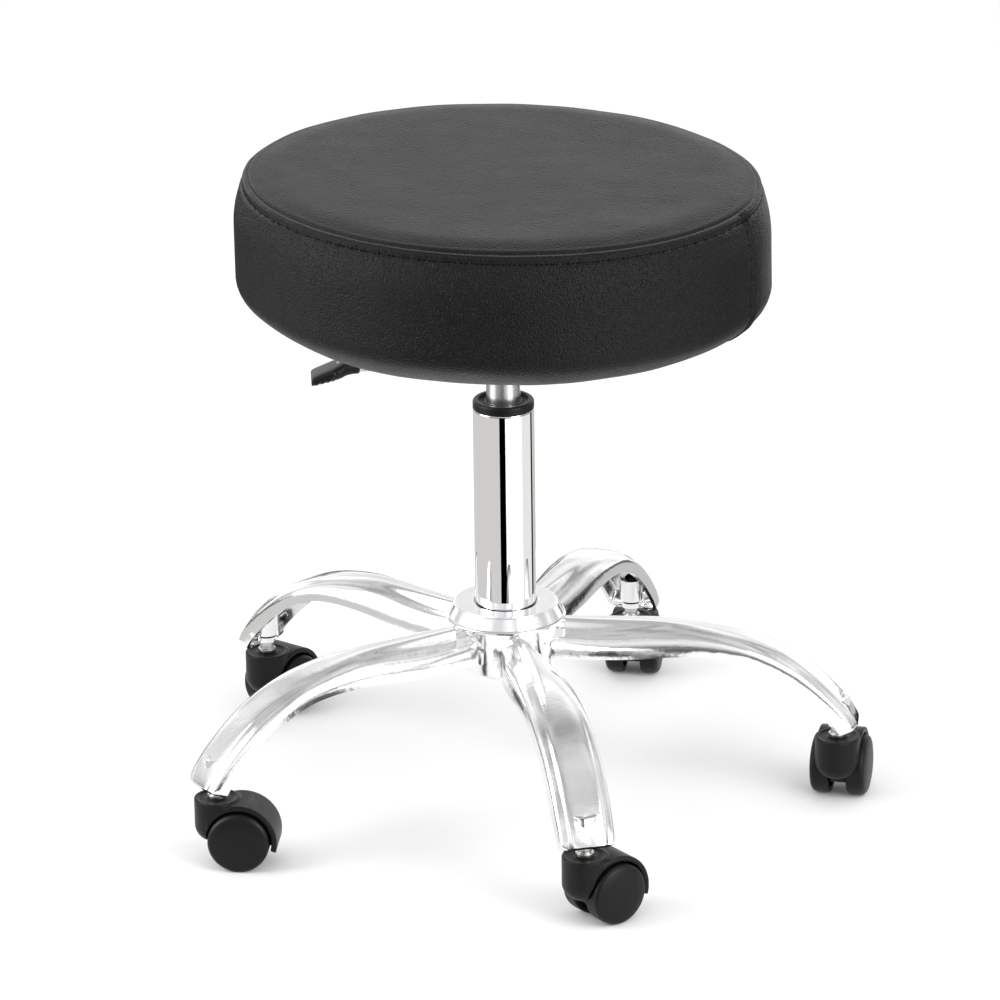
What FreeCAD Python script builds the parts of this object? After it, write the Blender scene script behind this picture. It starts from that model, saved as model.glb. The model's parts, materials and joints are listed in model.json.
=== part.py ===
import FreeCAD, Part
import math
import os
from FreeCAD import Vector

"""Adjustable swivel stool: padded round seat, gas-lift column, cast five-arm base, twin-wheel castors.

Millimetres. +Z is up, the origin is on the column's axis at floor level, and arm 0 points along +X.
Every sub-part is written to parts/NODE.step as one or more closed solids.
"""

# ---------------------------------------------------------------- castors
wheel_radius = 25.0
wheel_inner_face = 7.4         # distance of each wheel's inner face from the castor's mid-plane
wheel_width = 17.6             # to the middle of the domed outer face
wheel_shoulder = 3.0           # corner radius between tread and outer face
wheel_inner_chamfer = 1.0
wheel_face_slope = 17.0        # degrees the domed face slopes at the corner
wheel_centre_flat = 3.0
wheel_rim = 3.4
wheel_hub_radius = 6.2
wheel_pocket_depth = 11.0
trail = 19.0
axle_radius = 3.0
axle_half_length = 20.0
axle_clearance = 0.1
housing_top_z = wheel_radius + 32.0
housing_radius = 18.4
housing_bottom_z = wheel_radius - 4.0
housing_chin_radius = 13.0     # rounding of the socket's lower end
housing_dish_radius = 15.5
housing_dish_depth = 1.2
hood_radius = wheel_radius + 6.0
hood_gap = 1.4                 # between wheel tread and hood
hood_width = 2 * housing_radius
hood_end_angle = -16.0         # degrees below the axle at the rear
web_width = 13.6
web_radius = wheel_radius - 4.0
stem_radius = 5.5
stem_top_z = housing_top_z + 29.0
stem_bottom_z = housing_top_z - 22.0
stem_end_gap = 0.5
stem_bore_clearance = 0.08
stem_collar_radius = 7.4
stem_collar_height = 3.0
stem_collar_gap = 0.25
ring_groove = 0.9
ring_height = 7.0
ring_z = housing_top_z + 14.0
castor_yaw = (82.0, 86.0, 58.0, 0.0, 42.0)   # where each castor trails at rest, arms 0 to 4

# ---------------------------------------------------------------- cast base
arm_count = 5
castor_circle = 272.0          # radius of the circle the castor stems stand on
arm_root_reach = 27.0
# Each arm's top ridge: (run as a share of the castor circle, degrees it turns down over that run).
arm_bends = ((0.31618, 0.0), (0.28676, 14.0), (0.24265, 25.0), (0.14706, 11.0), (0.08824, 16.0))
arm_tip_z = housing_top_z + 12.4
arm_wall = 3.6
arm_end_round = 6.5
# Along the arm: (share of its length, half width, depth of its sides, squareness of its top).
arm_stations = ((0.00, 22.0, 30.0, 2.2), (0.16, 22.0, 28.8, 2.2), (0.30, 23.2, 26.3, 2.3),
                (0.43, 23.9, 20.9, 2.6), (0.53, 24.0, 16.8, 2.9), (0.63, 24.0, 15.2, 3.3),
                (0.75, 23.6, 16.0, 3.8), (0.86, 22.0, 16.5, 4.2), (1.00, 19.5, 14.5, 4.6))
boss_radius = stem_radius + 3.1
boss_bottom_z = housing_top_z + 9.0
boss_height = 28.0
boss_rib = 3.0


def arm_fall():
    """How far an arm's top ridge comes down from root to tip."""
    fall, slope = 0.0, 0.0
    for share, bend in arm_bends:
        turn = math.radians(bend)
        if turn > 0:
            fall += castor_circle * share / turn * (math.cos(slope) - math.cos(slope + turn))
        slope += turn
    return fall


arm_root_z = arm_tip_z + arm_fall()

# ---------------------------------------------------------------- gas-lift column
tube_radius = 25.0
tube_wall = 2.6
tube_taper = 1.0               # how much the radius shrinks inside the hub
tube_length = 229.0
tube_floor = 2.5
tube_floor_hole = 7.0
hub_bottom_z = arm_root_z - 42.5
hub_bottom_radius = tube_radius + 11.0
hub_top_radius = tube_radius + 13.0
flange_lip_z = arm_root_z - 0.3
flange_lip = 2.6
flange_radius = tube_radius + 24.0
flange_top_z = arm_root_z + 13.5
flange_top_radius = tube_radius + 17.3
hub_bore_relief = 1.6          # wider mouth round the tube at the hub's top
hub_bore_relief_depth = 4.0
tube_bottom_z = hub_bottom_z - 6.0
tube_top_z = tube_bottom_z + tube_length
lift_stroke = 120.0
collar_height = 7.5
collar_chamfer = 1.2
collar_recess_depth = 2.6
bush_length = 80.0
bush_land = 12.0
slide_clearance = 0.08
fit_clearance = 0.05
cylinder_radius = 14.0
cylinder_wall = 1.6
cylinder_taper_length = 40.0
cylinder_top_radius = cylinder_radius - 1.0
cylinder_top_z = tube_top_z + 51.0
button_radius = 4.0
button_height = 5.0
button_round = 2.0
button_travel = 4.0
button_stem_radius = 2.2
button_stem_length = 20.0
rod_radius = 5.0
rod_tip = 5.0                  # rod showing under the tube's floor
rod_shoulder_radius = 8.0
rod_shoulder = 3.0
piston_length = 12.0
piston_ring = 2.0
gland_length = 12.0
race_inner_radius = 6.5
race_outer_radius = 15.0
race_thickness = 1.5
ball_radius = 1.6
ball_count = 14
ball_circle = 11.0
ball_play = 0.05
buffer_radius = 12.0
buffer_height = 8.0
buffer_gap = 0.5
clip_radius = 9.0
clip_thickness = 1.2
clip_groove = 1.0

# ---------------------------------------------------------------- seat plate and release mechanism
lever_yaw = 188.0              # direction of the release lever at the seat's rest position
plate_side = 180.0
plate_thickness = 3.0
plate_corner = 12.0
plate_bolt_pitch = 150.0
plate_bolt_radius = 3.0
bolt_head_radius = 6.0
bolt_head_height = 4.0
bolt_length = 17.0
washer_radius = 8.0
washer_thickness = 1.2
bolt_clearance = 0.3
tnut_flange_radius = 9.5
tnut_flange_thickness = 1.4
tnut_barrel_radius = 4.2
tnut_barrel_length = 9.0
box_length = 104.0             # along the lever
box_width = 62.0
box_height = 39.0
box_wall = 2.5
box_corner = 6.0
box_lip = 11.0                 # welding lips under the plate
socket_wall = 3.5
socket_drop = 9.0              # how far the cone socket hangs below the box
lever_rod_radius = 4.5
lever_pivot_reach = 32.0       # pivot pin's distance from the column's axis
lever_play = 0.05              # between the lever's flattened end and the released button
lever_tip_reach = 11.0         # the flattened end runs past the column's axis
lever_tip_width = 13.0
lever_tip_thickness = 6.0
lever_crank_reach = box_length / 2 + 6.0     # where the rod bends down, outside the box
lever_crank_angle = 30.0
lever_level_reach = lever_crank_reach + 38.0  # where it bends back towards level
lever_end_angle = 8.0          # slope of the rod's outer run and of the paddle on it
lever_bend_radius = 14.0
paddle_start_reach = lever_level_reach + 20.0
lever_rod_end_reach = paddle_start_reach + 16.0
paddle_length = 38.5
paddle_width = 29.0
paddle_thickness = 8.0
paddle_tilt = 5.0              # extra droop of the paddle's blade
paddle_tilt_share = 0.4        # share of the paddle's length before it droops
paddle_rib_count = 6
paddle_rib_depth = 1.6
pivot_pin_radius = 2.0
pivot_clearance = 0.08
lever_lift = 6.0               # degrees
window_clearance = 3.0

# ---------------------------------------------------------------- seat cushion
seat_radius = 215.0            # widest radius of the upholstered cushion
seat_height = 122.0            # underside to top
seat_under_z = cylinder_top_z + 26.0
seat_under_radius = seat_radius - 58.0   # flat part of the underside
seat_bottom_round = 20.0       # radius of the tighter curve up into the side
seat_bottom_angle = 45.0       # slope where the two lower curves meet
top_z = seat_under_z + seat_height
seam_z = top_z - 4.0           # seam between side band and top panel
seam_radius = seat_radius - 11.0
seat_side_z = seam_z - 40.0    # where the side starts to lean in towards the seam
top_flat_radius = seam_radius - 28.0     # flat part of the top panel
cover_thickness = 1.2
soft_clearance = 0.15          # air left between cover, foam and board
board_radius = seat_under_radius + 7.0
board_thickness = 12.0
board_chamfer = 2.0
dust_cover_gap = 0.3           # between the dust cover's edge and the cover's turned-under edge
staple_count = 28
staple_length = 11.0
staple_wire = 1.0
staple_inset = 4.0             # staple ring inside the dust cover's edge

OUT = "parts"
Z = Vector(0, 0, 1)
ORIGIN = Vector(0, 0, 0)


# ---------------------------------------------------------------- helpers
def write(name, *shapes):
    """Writes one sub-part; several shapes become one compound of separate solids."""
    solids = [s for shape in shapes for s in shape.Solids]
    whole = solids[0] if len(solids) == 1 else Part.makeCompound(solids)
    whole.exportStep(os.path.join(OUT, name + ".step"))
    box = whole.BoundBox
    print(f"{name:28s} solids {len(solids):3d}  volume {sum(s.Volume for s in solids):12.1f}"
          f"  z {box.ZMin:7.2f} to {box.ZMax:7.2f}  valid {whole.isValid()}")


def tube(outer, inner, z0, z1):
    """A straight tube round the Z axis."""
    body = Part.makeCylinder(outer, z1 - z0, Vector(0, 0, z0))
    return body.cut(Part.makeCylinder(inner, z1 - z0 + 2, Vector(0, 0, z0 - 1)))


def revolved(points):
    """A closed outline of (radius, z) points, turned round the Z axis."""
    corners = [Vector(r, 0, z) for r, z in points]
    return Part.Face(Part.makePolygon(corners + corners[:1])).revolve(ORIGIN, Z, 360)


def revolved_edges(edges):
    """A closed outline of edges in the XZ plane, turned round the Z axis."""
    return Part.Face(Part.Wire(Part.__sortEdges__(edges))).revolve(ORIGIN, Z, 360)


def line(a, b):
    return Part.LineSegment(Vector(a[0], 0, a[1]), Vector(b[0], 0, b[1])).toShape()


def arc(a, m, b):
    return Part.Arc(Vector(a[0], 0, a[1]), Vector(m[0], 0, m[1]), Vector(b[0], 0, b[1])).toShape()


def turned(shape, degrees):
    """A copy turned round the Z axis."""
    copy = shape.copy()
    copy.rotate(ORIGIN, Z, degrees)
    return copy


def moved(shape, x, y, z):
    copy = shape.copy()
    copy.translate(Vector(x, y, z))
    return copy


def rounded_slab(x_size, y_size, z0, z1, corner):
    """An upright slab centred on the axis, with rounded vertical edges."""
    slab = Part.makeBox(x_size, y_size, z1 - z0, Vector(-x_size / 2, -y_size / 2, z0))
    upright = [e for e in slab.Edges if abs(e.BoundBox.ZLength - (z1 - z0)) < 1e-6]
    return slab.makeFillet(corner, upright)


def ring_of(shape, count, start=0.0):
    """Copies of a shape spaced evenly round the Z axis."""
    return [turned(shape, start + 360.0 * k / count) for k in range(count)]


# ---------------------------------------------------------------- seat cushion
def cushion_outline(inset):
    """The cushion's outline from the underside out, up and in to the axis, moved in by inset.

    Returns the edges and the first and last points.
    """
    angle = math.radians(seat_bottom_angle)
    tight = seat_bottom_round
    wide = (seat_radius - tight + tight * math.sin(angle) - seat_under_radius) / math.sin(angle)
    side_low_z = seat_under_z + wide * (1 - math.cos(angle)) + tight * math.cos(angle)
    lean = seam_z - seat_side_z
    lean_radius = (lean ** 2 + (seat_radius - seam_radius) ** 2) / (2 * (seat_radius - seam_radius))
    lean_centre_r = seat_radius - lean_radius
    shoulder = lean_radius - inset
    lean_angle = math.asin(lean / lean_radius)

    def on_wide(turn):
        return (seat_under_radius + (wide - inset) * math.sin(turn),
                seat_under_z + wide - (wide - inset) * math.cos(turn))

    def on_tight(turn):
        return (seat_radius - tight + (tight - inset) * math.sin(turn),
                side_low_z - (tight - inset) * math.cos(turn))

    start = (seat_under_radius, seat_under_z + inset)
    side_low = (seat_radius - inset, side_low_z)
    side_high = (seat_radius - inset, seat_side_z)
    shoulder_mid = (lean_centre_r + shoulder * math.cos(lean_angle / 2),
                    seat_side_z + shoulder * math.sin(lean_angle / 2))
    seam = (lean_centre_r + shoulder * math.cos(lean_angle),
            seat_side_z + shoulder * math.sin(lean_angle))
    flat = (top_flat_radius, top_z - inset)
    drop = flat[1] - seam[1]
    run = seam[0] - flat[0]
    crown_radius = (drop ** 2 + run ** 2) / (2 * drop)
    crown_angle = math.asin(run / crown_radius) / 2
    crown_mid = (flat[0] + crown_radius * math.sin(crown_angle),
                 flat[1] - crown_radius * (1 - math.cos(crown_angle)))
    edges = [arc(start, on_wide(angle / 2), on_wide(angle)),
             arc(on_wide(angle), on_tight((angle + math.pi / 2) / 2), side_low), line(side_low, side_high),
             arc(side_high, shoulder_mid, seam), arc(seam, crown_mid, flat),
             line(flat, (0, flat[1]))]
    return edges, start, (0, flat[1])


def make_seat():
    """Cover, foam, board, dust cover and staples."""
    outer, outer_start, outer_end = cushion_outline(0)
    inner, inner_start, inner_end = cushion_outline(cover_thickness)
    joins = [line(outer_start, inner_start), line(outer_end, inner_end)]
    write("seat_cover", revolved_edges(outer + inner + joins))

    board_low = seat_under_z + cover_thickness + soft_clearance
    board_high = board_low + board_thickness
    foam, foam_start, foam_end = cushion_outline(cover_thickness + soft_clearance)
    foam_solid = revolved_edges(foam + [line(foam_start, (0, foam_start[1])),
                                        line((0, foam_start[1]), foam_end)])
    recess = Part.makeCylinder(board_radius + soft_clearance, board_high + soft_clearance - seat_under_z,
                               Vector(0, 0, seat_under_z))
    foam_solid = foam_solid.cut(recess)

    bolt_holes = [Part.makeCylinder(tnut_barrel_radius + bolt_clearance, 40,
                                    Vector(x, y, seat_under_z - 5)) for x, y in bolt_places()]
    flange_seats = [Part.makeCylinder(tnut_flange_radius + bolt_clearance,
                                       tnut_flange_thickness + soft_clearance,
                                      Vector(x, y, board_high)) for x, y in bolt_places()]
    board = revolved(((0, board_low), (board_radius - board_chamfer, board_low),
                      (board_radius, board_low + board_chamfer), (board_radius, board_high),
                      (0, board_high)))
    write("seat_foam", foam_solid.cut(Part.makeCompound(flange_seats)))
    write("seat_board", board.cut(Part.makeCompound(bolt_holes)))

    dust_radius = seat_under_radius - dust_cover_gap
    dust = Part.makeCylinder(dust_radius, board_low - seat_under_z, Vector(0, 0, seat_under_z))
    dust = dust.cut(Part.makeCompound([Part.makeCylinder(plate_bolt_radius + bolt_clearance, 10,
                                                         Vector(x, y, seat_under_z - 5))
                                       for x, y in bolt_places()]))
    write("dust_cover", dust)

    staple = Part.makeBox(staple_wire, staple_length, staple_wire / 2,
                          Vector(dust_radius - staple_inset, -staple_length / 2,
                                 seat_under_z - staple_wire / 2))
    write("cover_staples", *ring_of(staple, staple_count))
    return board_low, board_high


def bolt_places():
    """The four plate bolts, turned with the seat plate."""
    half = plate_bolt_pitch / 2
    angle = math.radians(lever_yaw)
    for x, y in ((half, half), (-half, half), (-half, -half), (half, -half)):
        yield (x * math.cos(angle) - y * math.sin(angle), x * math.sin(angle) + y * math.cos(angle))


# ---------------------------------------------------------------- seat plate and release mechanism
def make_seat_plate(board_low, board_high):
    """Plate, mechanism box, cone socket, bolts and T-nuts, made along +X and turned to the lever."""
    plate_top = seat_under_z
    plate_low = plate_top - plate_thickness
    plate = rounded_slab(plate_side, plate_side, plate_low, plate_top, plate_corner)
    half = plate_bolt_pitch / 2
    holes = [Part.makeCylinder(plate_bolt_radius + bolt_clearance, 20, Vector(x, y, plate_low - 5))
             for x in (-half, half) for y in (-half, half)]
    write("seat_plate", turned(plate.cut(Part.makeCompound(holes)), lever_yaw))

    box_top = plate_low
    box_low = box_top - box_height
    shell = rounded_slab(box_length, box_width, box_low, box_top, box_corner)
    hollow = rounded_slab(box_length - 2 * box_wall, box_width - 2 * box_wall,
                          box_low + box_wall, box_top + 1, box_corner - box_wall)
    lip = Part.makeBox(box_length, box_lip, box_wall,
                       Vector(-box_length / 2, box_width / 2, box_top - box_wall))
    far_lip = Part.makeBox(box_length, box_lip, box_wall,
                           Vector(-box_length / 2, -box_width / 2 - box_lip, box_top - box_wall))
    box = shell.cut(hollow).fuse([lip, far_lip]).removeSplitter()
    socket_low = box_low - socket_drop
    rod_z = lever_axis_z()
    window_half = lever_tip_width / 2 + window_clearance
    swing = (box_length / 2) * math.sin(math.radians(lever_lift))
    window = Part.makeBox(box_wall * 4, 2 * window_half, 2 * lever_rod_radius + 2 * window_clearance + swing,
                          Vector(box_length / 2 - 2 * box_wall, -window_half,
                                 rod_z - lever_rod_radius - window_clearance))
    socket_outer = cylinder_radius + fit_clearance + socket_wall
    socket_hole = Part.makeCylinder(socket_outer + fit_clearance, box_wall * 4,
                                    Vector(0, 0, box_low - box_wall))
    pin_hole = Part.makeCylinder(pivot_pin_radius + fit_clearance, box_width * 2,
                                 Vector(lever_pivot_reach, -box_width, rod_z), Vector(0, 1, 0))
    write("mechanism_box", turned(box.cut(window).cut(socket_hole).cut(pin_hole), lever_yaw))

    taper_low = cylinder_top_z - cylinder_taper_length
    socket_high = cylinder_top_z - 2.0
    body = Part.makeCylinder(socket_outer, socket_high - socket_low, Vector(0, 0, socket_low))
    shrink = (cylinder_radius - cylinder_top_radius) / cylinder_taper_length
    mouth = cylinder_radius + fit_clearance - shrink * (socket_low - taper_low)
    bore = Part.makeCone(mouth + shrink, mouth - shrink * (socket_high - socket_low + 1),
                         socket_high - socket_low + 2, Vector(0, 0, socket_low - 1))
    write("cone_socket", body.cut(bore))

    head_low = plate_low - washer_thickness - bolt_head_height
    bolts = []
    nuts = []
    for x, y in ((half, half), (-half, half), (-half, -half), (half, -half)):
        shank = Part.makeCylinder(plate_bolt_radius, bolt_length + washer_thickness,
                                  Vector(x, y, plate_low - washer_thickness))
        head = hexagon(bolt_head_radius, head_low, bolt_head_height, x, y)
        washer = Part.makeCylinder(washer_radius, washer_thickness,
                                   Vector(x, y, plate_low - washer_thickness))
        bolts.append(shank.fuse([head, washer]).removeSplitter())
        flange = Part.makeCylinder(tnut_flange_radius, tnut_flange_thickness, Vector(x, y, board_high))
        barrel = Part.makeCylinder(tnut_barrel_radius, tnut_barrel_length,
                                   Vector(x, y, board_high - tnut_barrel_length))
        thread = Part.makeCylinder(plate_bolt_radius + fit_clearance, 60, Vector(x, y, board_low - 20))
        nuts.append(flange.fuse(barrel).cut(thread))
    write("plate_bolts", *[turned(b, lever_yaw) for b in bolts])
    write("t_nuts", *[turned(n, lever_yaw) for n in nuts])

    pin = Part.makeCylinder(pivot_pin_radius, box_width + 6,
                            Vector(lever_pivot_reach, -box_width / 2 - 3, rod_z),
                            Vector(0, 1, 0))
    write("lever_pin", turned(pin, lever_yaw))


def hexagon(radius, z0, height, x, y):
    """A hexagon bolt head; radius is to the corners."""
    corners = [Vector(x + radius * math.cos(math.radians(60 * k)),
                      y + radius * math.sin(math.radians(60 * k)), z0)
               for k in range(7)]
    return Part.Face(Part.makePolygon(corners)).extrude(Vector(0, 0, height))


def lever_axis_z():
    """Height of the lever rod's axis: its flattened end lies on the released valve button."""
    return cylinder_top_z + button_height + lever_play + lever_tip_thickness / 2


def make_lever():
    """The bent rod with its flattened inner end, and the ribbed paddle, made along +X."""
    rod_z = lever_axis_z()
    start = (lever_tip_width / 2, rod_z)
    level_z = rod_z - (lever_level_reach - lever_crank_reach) * math.tan(math.radians(lever_crank_angle))
    end_slope = math.tan(math.radians(lever_end_angle))
    end = (lever_rod_end_reach, level_z - (lever_rod_end_reach - lever_level_reach) * end_slope)
    path = Part.Wire(bent_path((start, (lever_crank_reach, rod_z), (lever_level_reach, level_z), end),
                               lever_bend_radius))
    circle = Part.Wire(Part.makeCircle(lever_rod_radius, Vector(start[0], 0, start[1]), Vector(1, 0, 0)))
    rod = path.makePipeShell([circle], True, False)
    tip = Part.makeBox(lever_tip_reach + lever_tip_width, lever_tip_width, lever_tip_thickness,
                       Vector(-lever_tip_reach, -lever_tip_width / 2, rod_z - lever_tip_thickness / 2))
    eye = Part.makeCylinder(pivot_pin_radius + pivot_clearance, 40, Vector(lever_pivot_reach, -20, rod_z),
                            Vector(0, 1, 0))
    rod = rod.fuse(tip).removeSplitter().cut(eye)
    write("lever_rod", turned(rod, lever_yaw))

    start_z = level_z - (paddle_start_reach - lever_level_reach) * end_slope
    blade = paddle_outline().cut(paddle_grooves())
    blade.translate(Vector(paddle_start_reach, 0, start_z))
    blade.rotate(Vector(paddle_start_reach, 0, start_z), Vector(0, 1, 0), lever_end_angle)
    slope = math.radians(lever_end_angle)
    along = Vector(math.cos(slope), 0, -math.sin(slope))
    lead = 5.0
    bore_length = (lever_rod_end_reach - paddle_start_reach) / math.cos(slope) + lead + 0.3
    bore = Part.makeCylinder(lever_rod_radius + fit_clearance, bore_length,
                             Vector(paddle_start_reach, 0, start_z) - along * lead, along)
    write("lever_paddle", turned(blade.cut(bore), lever_yaw))


def bent_path(corners, radius):
    """Edges of a run through (x, z) corners, each corner bent to a radius."""
    edges = []
    start = corners[0]
    for before, corner, after in zip(corners, corners[1:], corners[2:]):
        into = math.atan2(corner[1] - before[1], corner[0] - before[0])
        out = math.atan2(after[1] - corner[1], after[0] - corner[0])
        half = (out - into) / 2
        tangent = radius * abs(math.tan(half))
        bow = radius * (1 / math.cos(half) - 1)
        inward = (into + out) / 2 + math.copysign(math.pi / 2, half)
        bend_in = (corner[0] - tangent * math.cos(into), corner[1] - tangent * math.sin(into))
        bend_mid = (corner[0] + bow * math.cos(inward), corner[1] + bow * math.sin(inward))
        bend_out = (corner[0] + tangent * math.cos(out), corner[1] + tangent * math.sin(out))
        edges += [line(start, bend_in), arc(bend_in, bend_mid, bend_out)]
        start = bend_out
    return edges + [line(start, corners[-1])]


def paddle_outline():
    """The paddle along +X from its own start: a round sleeve that opens into a drooping blade."""
    sleeve_radius = lever_rod_radius + 2.3
    stations = ((0.0, sleeve_radius, sleeve_radius), (0.2, sleeve_radius * 1.15, sleeve_radius),
                (paddle_tilt_share, paddle_width * 0.44, sleeve_radius * 0.97),
                (0.62, paddle_width * 0.5, paddle_thickness * 0.6),
                (0.84, paddle_width * 0.5, paddle_thickness * 0.46),
                (1.0, paddle_width * 0.46, paddle_thickness * 0.4))
    wires = []
    for share, half_width, half_height in stations:
        droop = paddle_length * max(0.0, share - paddle_tilt_share) * math.tan(math.radians(paddle_tilt))
        centre = Vector(paddle_length * share, 0, -droop)
        wires.append(rounded_section(centre, half_width, half_height))
    return Part.makeLoft(wires, True, False)


def rounded_section(centre, half_width, half_height, power=2.6, points=16):
    """A closed smooth section in a YZ plane."""
    outline = []
    for k in range(points):
        t = 2 * math.pi * k / points
        c, s = math.cos(t), math.sin(t)
        y = half_width * math.copysign(abs(c) ** (2 / power), c)
        z = half_height * math.copysign(abs(s) ** (2 / power), s)
        outline.append(centre + Vector(0, y, z))
    spline = Part.BSplineCurve()
    spline.interpolate(outline, PeriodicFlag=True)
    return Part.Wire(spline.toShape())


def paddle_grooves():
    """Grip grooves across the blade's underside."""
    pitch = paddle_length * 0.42 / paddle_rib_count
    grooves = []
    for k in range(paddle_rib_count):
        x = paddle_length * 0.54 + pitch * k
        droop = (x - paddle_length * paddle_tilt_share) * math.tan(math.radians(paddle_tilt))
        low = -droop - paddle_thickness * 0.44
        grooves.append(Part.makeBox(pitch * 0.45, paddle_width * 0.72, paddle_rib_depth * 2,
                                    Vector(x, -paddle_width * 0.36, low - paddle_rib_depth)))
    return Part.makeCompound(grooves)


# ---------------------------------------------------------------- gas-lift column
def make_column():
    """Outer tube, guide bush, gas cylinder, piston rod and the bearing at the tube's floor."""
    inner = tube_radius - tube_wall
    floor_top = tube_bottom_z + tube_floor
    low_radius = tube_radius - tube_taper * (flange_top_z - tube_bottom_z) / (flange_top_z - hub_bottom_z)
    write("column_tube", revolved((
        (tube_floor_hole, tube_bottom_z), (low_radius, tube_bottom_z), (tube_radius, flange_top_z),
        (tube_radius, tube_top_z), (inner, tube_top_z), (inner, floor_top), (tube_floor_hole, floor_top))))

    bore = cylinder_radius + slide_clearance
    land = inner - fit_clearance
    waist = (bore + land) / 2
    bush_low = tube_top_z - bush_length
    collar_top = tube_top_z + collar_height
    recess = (bore + tube_radius) / 2 + 1
    write("guide_bush", revolved((
        (bore, bush_low), (land, bush_low), (land, bush_low + bush_land),
        (waist, bush_low + bush_land + 3), (waist, tube_top_z - bush_land - 3),
        (land, tube_top_z - bush_land), (land, tube_top_z), (tube_radius, tube_top_z),
        (tube_radius, collar_top - collar_chamfer), (tube_radius - collar_chamfer, collar_top),
        (recess + 1, collar_top), (recess, collar_top - collar_recess_depth),
        (bore + 1.2, collar_top - collar_recess_depth), (bore, collar_top - collar_recess_depth - 1.2))))

    race_gap = 2 * ball_radius + ball_play
    write("bearing_lower_race", tube(race_outer_radius, race_inner_radius,
                                     floor_top, floor_top + race_thickness))
    ball_z = floor_top + race_thickness + race_gap / 2
    ball = Part.makeSphere(ball_radius, Vector(ball_circle, 0, ball_z))
    write("bearing_balls", *ring_of(ball, ball_count))
    upper_low = floor_top + race_thickness + race_gap
    write("bearing_upper_race", tube(race_outer_radius, race_inner_radius,
                                     upper_low, upper_low + race_thickness))

    shoulder_low = upper_low + race_thickness
    buffer_low = shoulder_low + rod_shoulder
    cylinder_low = buffer_low + buffer_height + buffer_gap
    gland_top = cylinder_low + gland_length
    piston_low = gland_top + lift_stroke + 2
    piston_top = piston_low + piston_length
    rod_bottom = tube_bottom_z - rod_tip
    groove_z = tube_bottom_z - clip_thickness - 0.4
    rod = Part.makeCylinder(rod_radius, piston_top - rod_bottom, Vector(0, 0, rod_bottom))
    rod = rod.fuse(Part.makeCylinder(rod_shoulder_radius, rod_shoulder, Vector(0, 0, shoulder_low)))
    rod = rod.cut(tube(rod_radius + 5, rod_radius - clip_groove, groove_z, groove_z + clip_thickness + 0.1))
    write("piston_rod", rod.removeSplitter())
    write("rubber_buffer", tube(buffer_radius, rod_radius + fit_clearance,
                                buffer_low, buffer_low + buffer_height))
    clip = tube(clip_radius, rod_radius - clip_groove + fit_clearance, groove_z + 0.05,
                groove_z + 0.05 + clip_thickness - 0.05)
    slot = Part.makeBox(clip_radius * 2, (rod_radius - clip_groove) * 1.4, 10,
                        Vector(0, -(rod_radius - clip_groove) * 0.7, groove_z - 5))
    write("rod_clip", clip.cut(slot))

    cylinder_inner = cylinder_radius - cylinder_wall
    piston = tube(cylinder_inner - slide_clearance, rod_radius + fit_clearance, piston_low, piston_top)
    groove = tube(cylinder_inner + 1, cylinder_inner - slide_clearance - piston_ring,
                  piston_low + piston_length / 2 - 1.5, piston_low + piston_length / 2 + 1.5)
    write("piston", piston.cut(groove))
    write("piston_seal", tube(cylinder_inner - slide_clearance, cylinder_inner - piston_ring,
                              piston_low + piston_length / 2 - 1.4, piston_low + piston_length / 2 + 1.4))
    write("cylinder_gland", tube(cylinder_inner - fit_clearance, rod_radius + slide_clearance,
                                 cylinder_low + 1.0, gland_top))

    taper_low = cylinder_top_z - cylinder_taper_length
    shell = revolved((
        (0, cylinder_low), (cylinder_radius - 0.8, cylinder_low), (cylinder_radius, cylinder_low + 0.8),
        (cylinder_radius, taper_low), (cylinder_top_radius, cylinder_top_z), (0, cylinder_top_z)))
    chamber = Part.makeCylinder(cylinder_inner, taper_low - cylinder_low - 8,
                                Vector(0, 0, cylinder_low + 1))
    rod_hole = Part.makeCylinder(rod_radius + 0.6, 10, Vector(0, 0, cylinder_low - 4))
    valve_hole = Part.makeCylinder(button_stem_radius + slide_clearance,
                                   button_stem_length + button_travel + 1,
                                   Vector(0, 0, cylinder_top_z - button_stem_length - button_travel))
    valve_seat = Part.makeCylinder(button_radius + 0.5, button_travel + 1,
                                   Vector(0, 0, cylinder_top_z - button_travel))
    write("gas_cylinder", shell.cut(chamber).cut(rod_hole).cut(valve_hole).cut(valve_seat))

    head = Part.makeCylinder(button_radius, button_height, Vector(0, 0, cylinder_top_z))
    head = head.makeFillet(button_round, [e for e in head.Edges if e.BoundBox.ZMin > cylinder_top_z + 1])
    stem = Part.makeCylinder(button_stem_radius, button_stem_length,
                             Vector(0, 0, cylinder_top_z - button_stem_length))
    write("release_button", head.fuse(stem).removeSplitter())


# ---------------------------------------------------------------- cast base
def arm_point(distance):
    """Position and downward slope of the arm's top ridge at a distance along it: (reach, z, radians)."""
    reach, z, slope = arm_root_reach, arm_root_z, 0.0
    left = distance
    for share, bend in arm_bends:
        run = castor_circle * share
        step = min(left, run)
        turn = math.radians(bend) * step / run
        if abs(turn) > 1e-9:
            radius = step / turn
            reach += radius * (math.sin(slope + turn) - math.sin(slope))
            z -= radius * (math.cos(slope) - math.cos(slope + turn))
        else:
            reach += step * math.cos(slope)
            z -= step * math.sin(slope)
        slope += turn
        left -= step
        if left <= 1e-9:
            break
    return reach, z, slope


def arm_length():
    return castor_circle * sum(share for share, bend in arm_bends)


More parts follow.
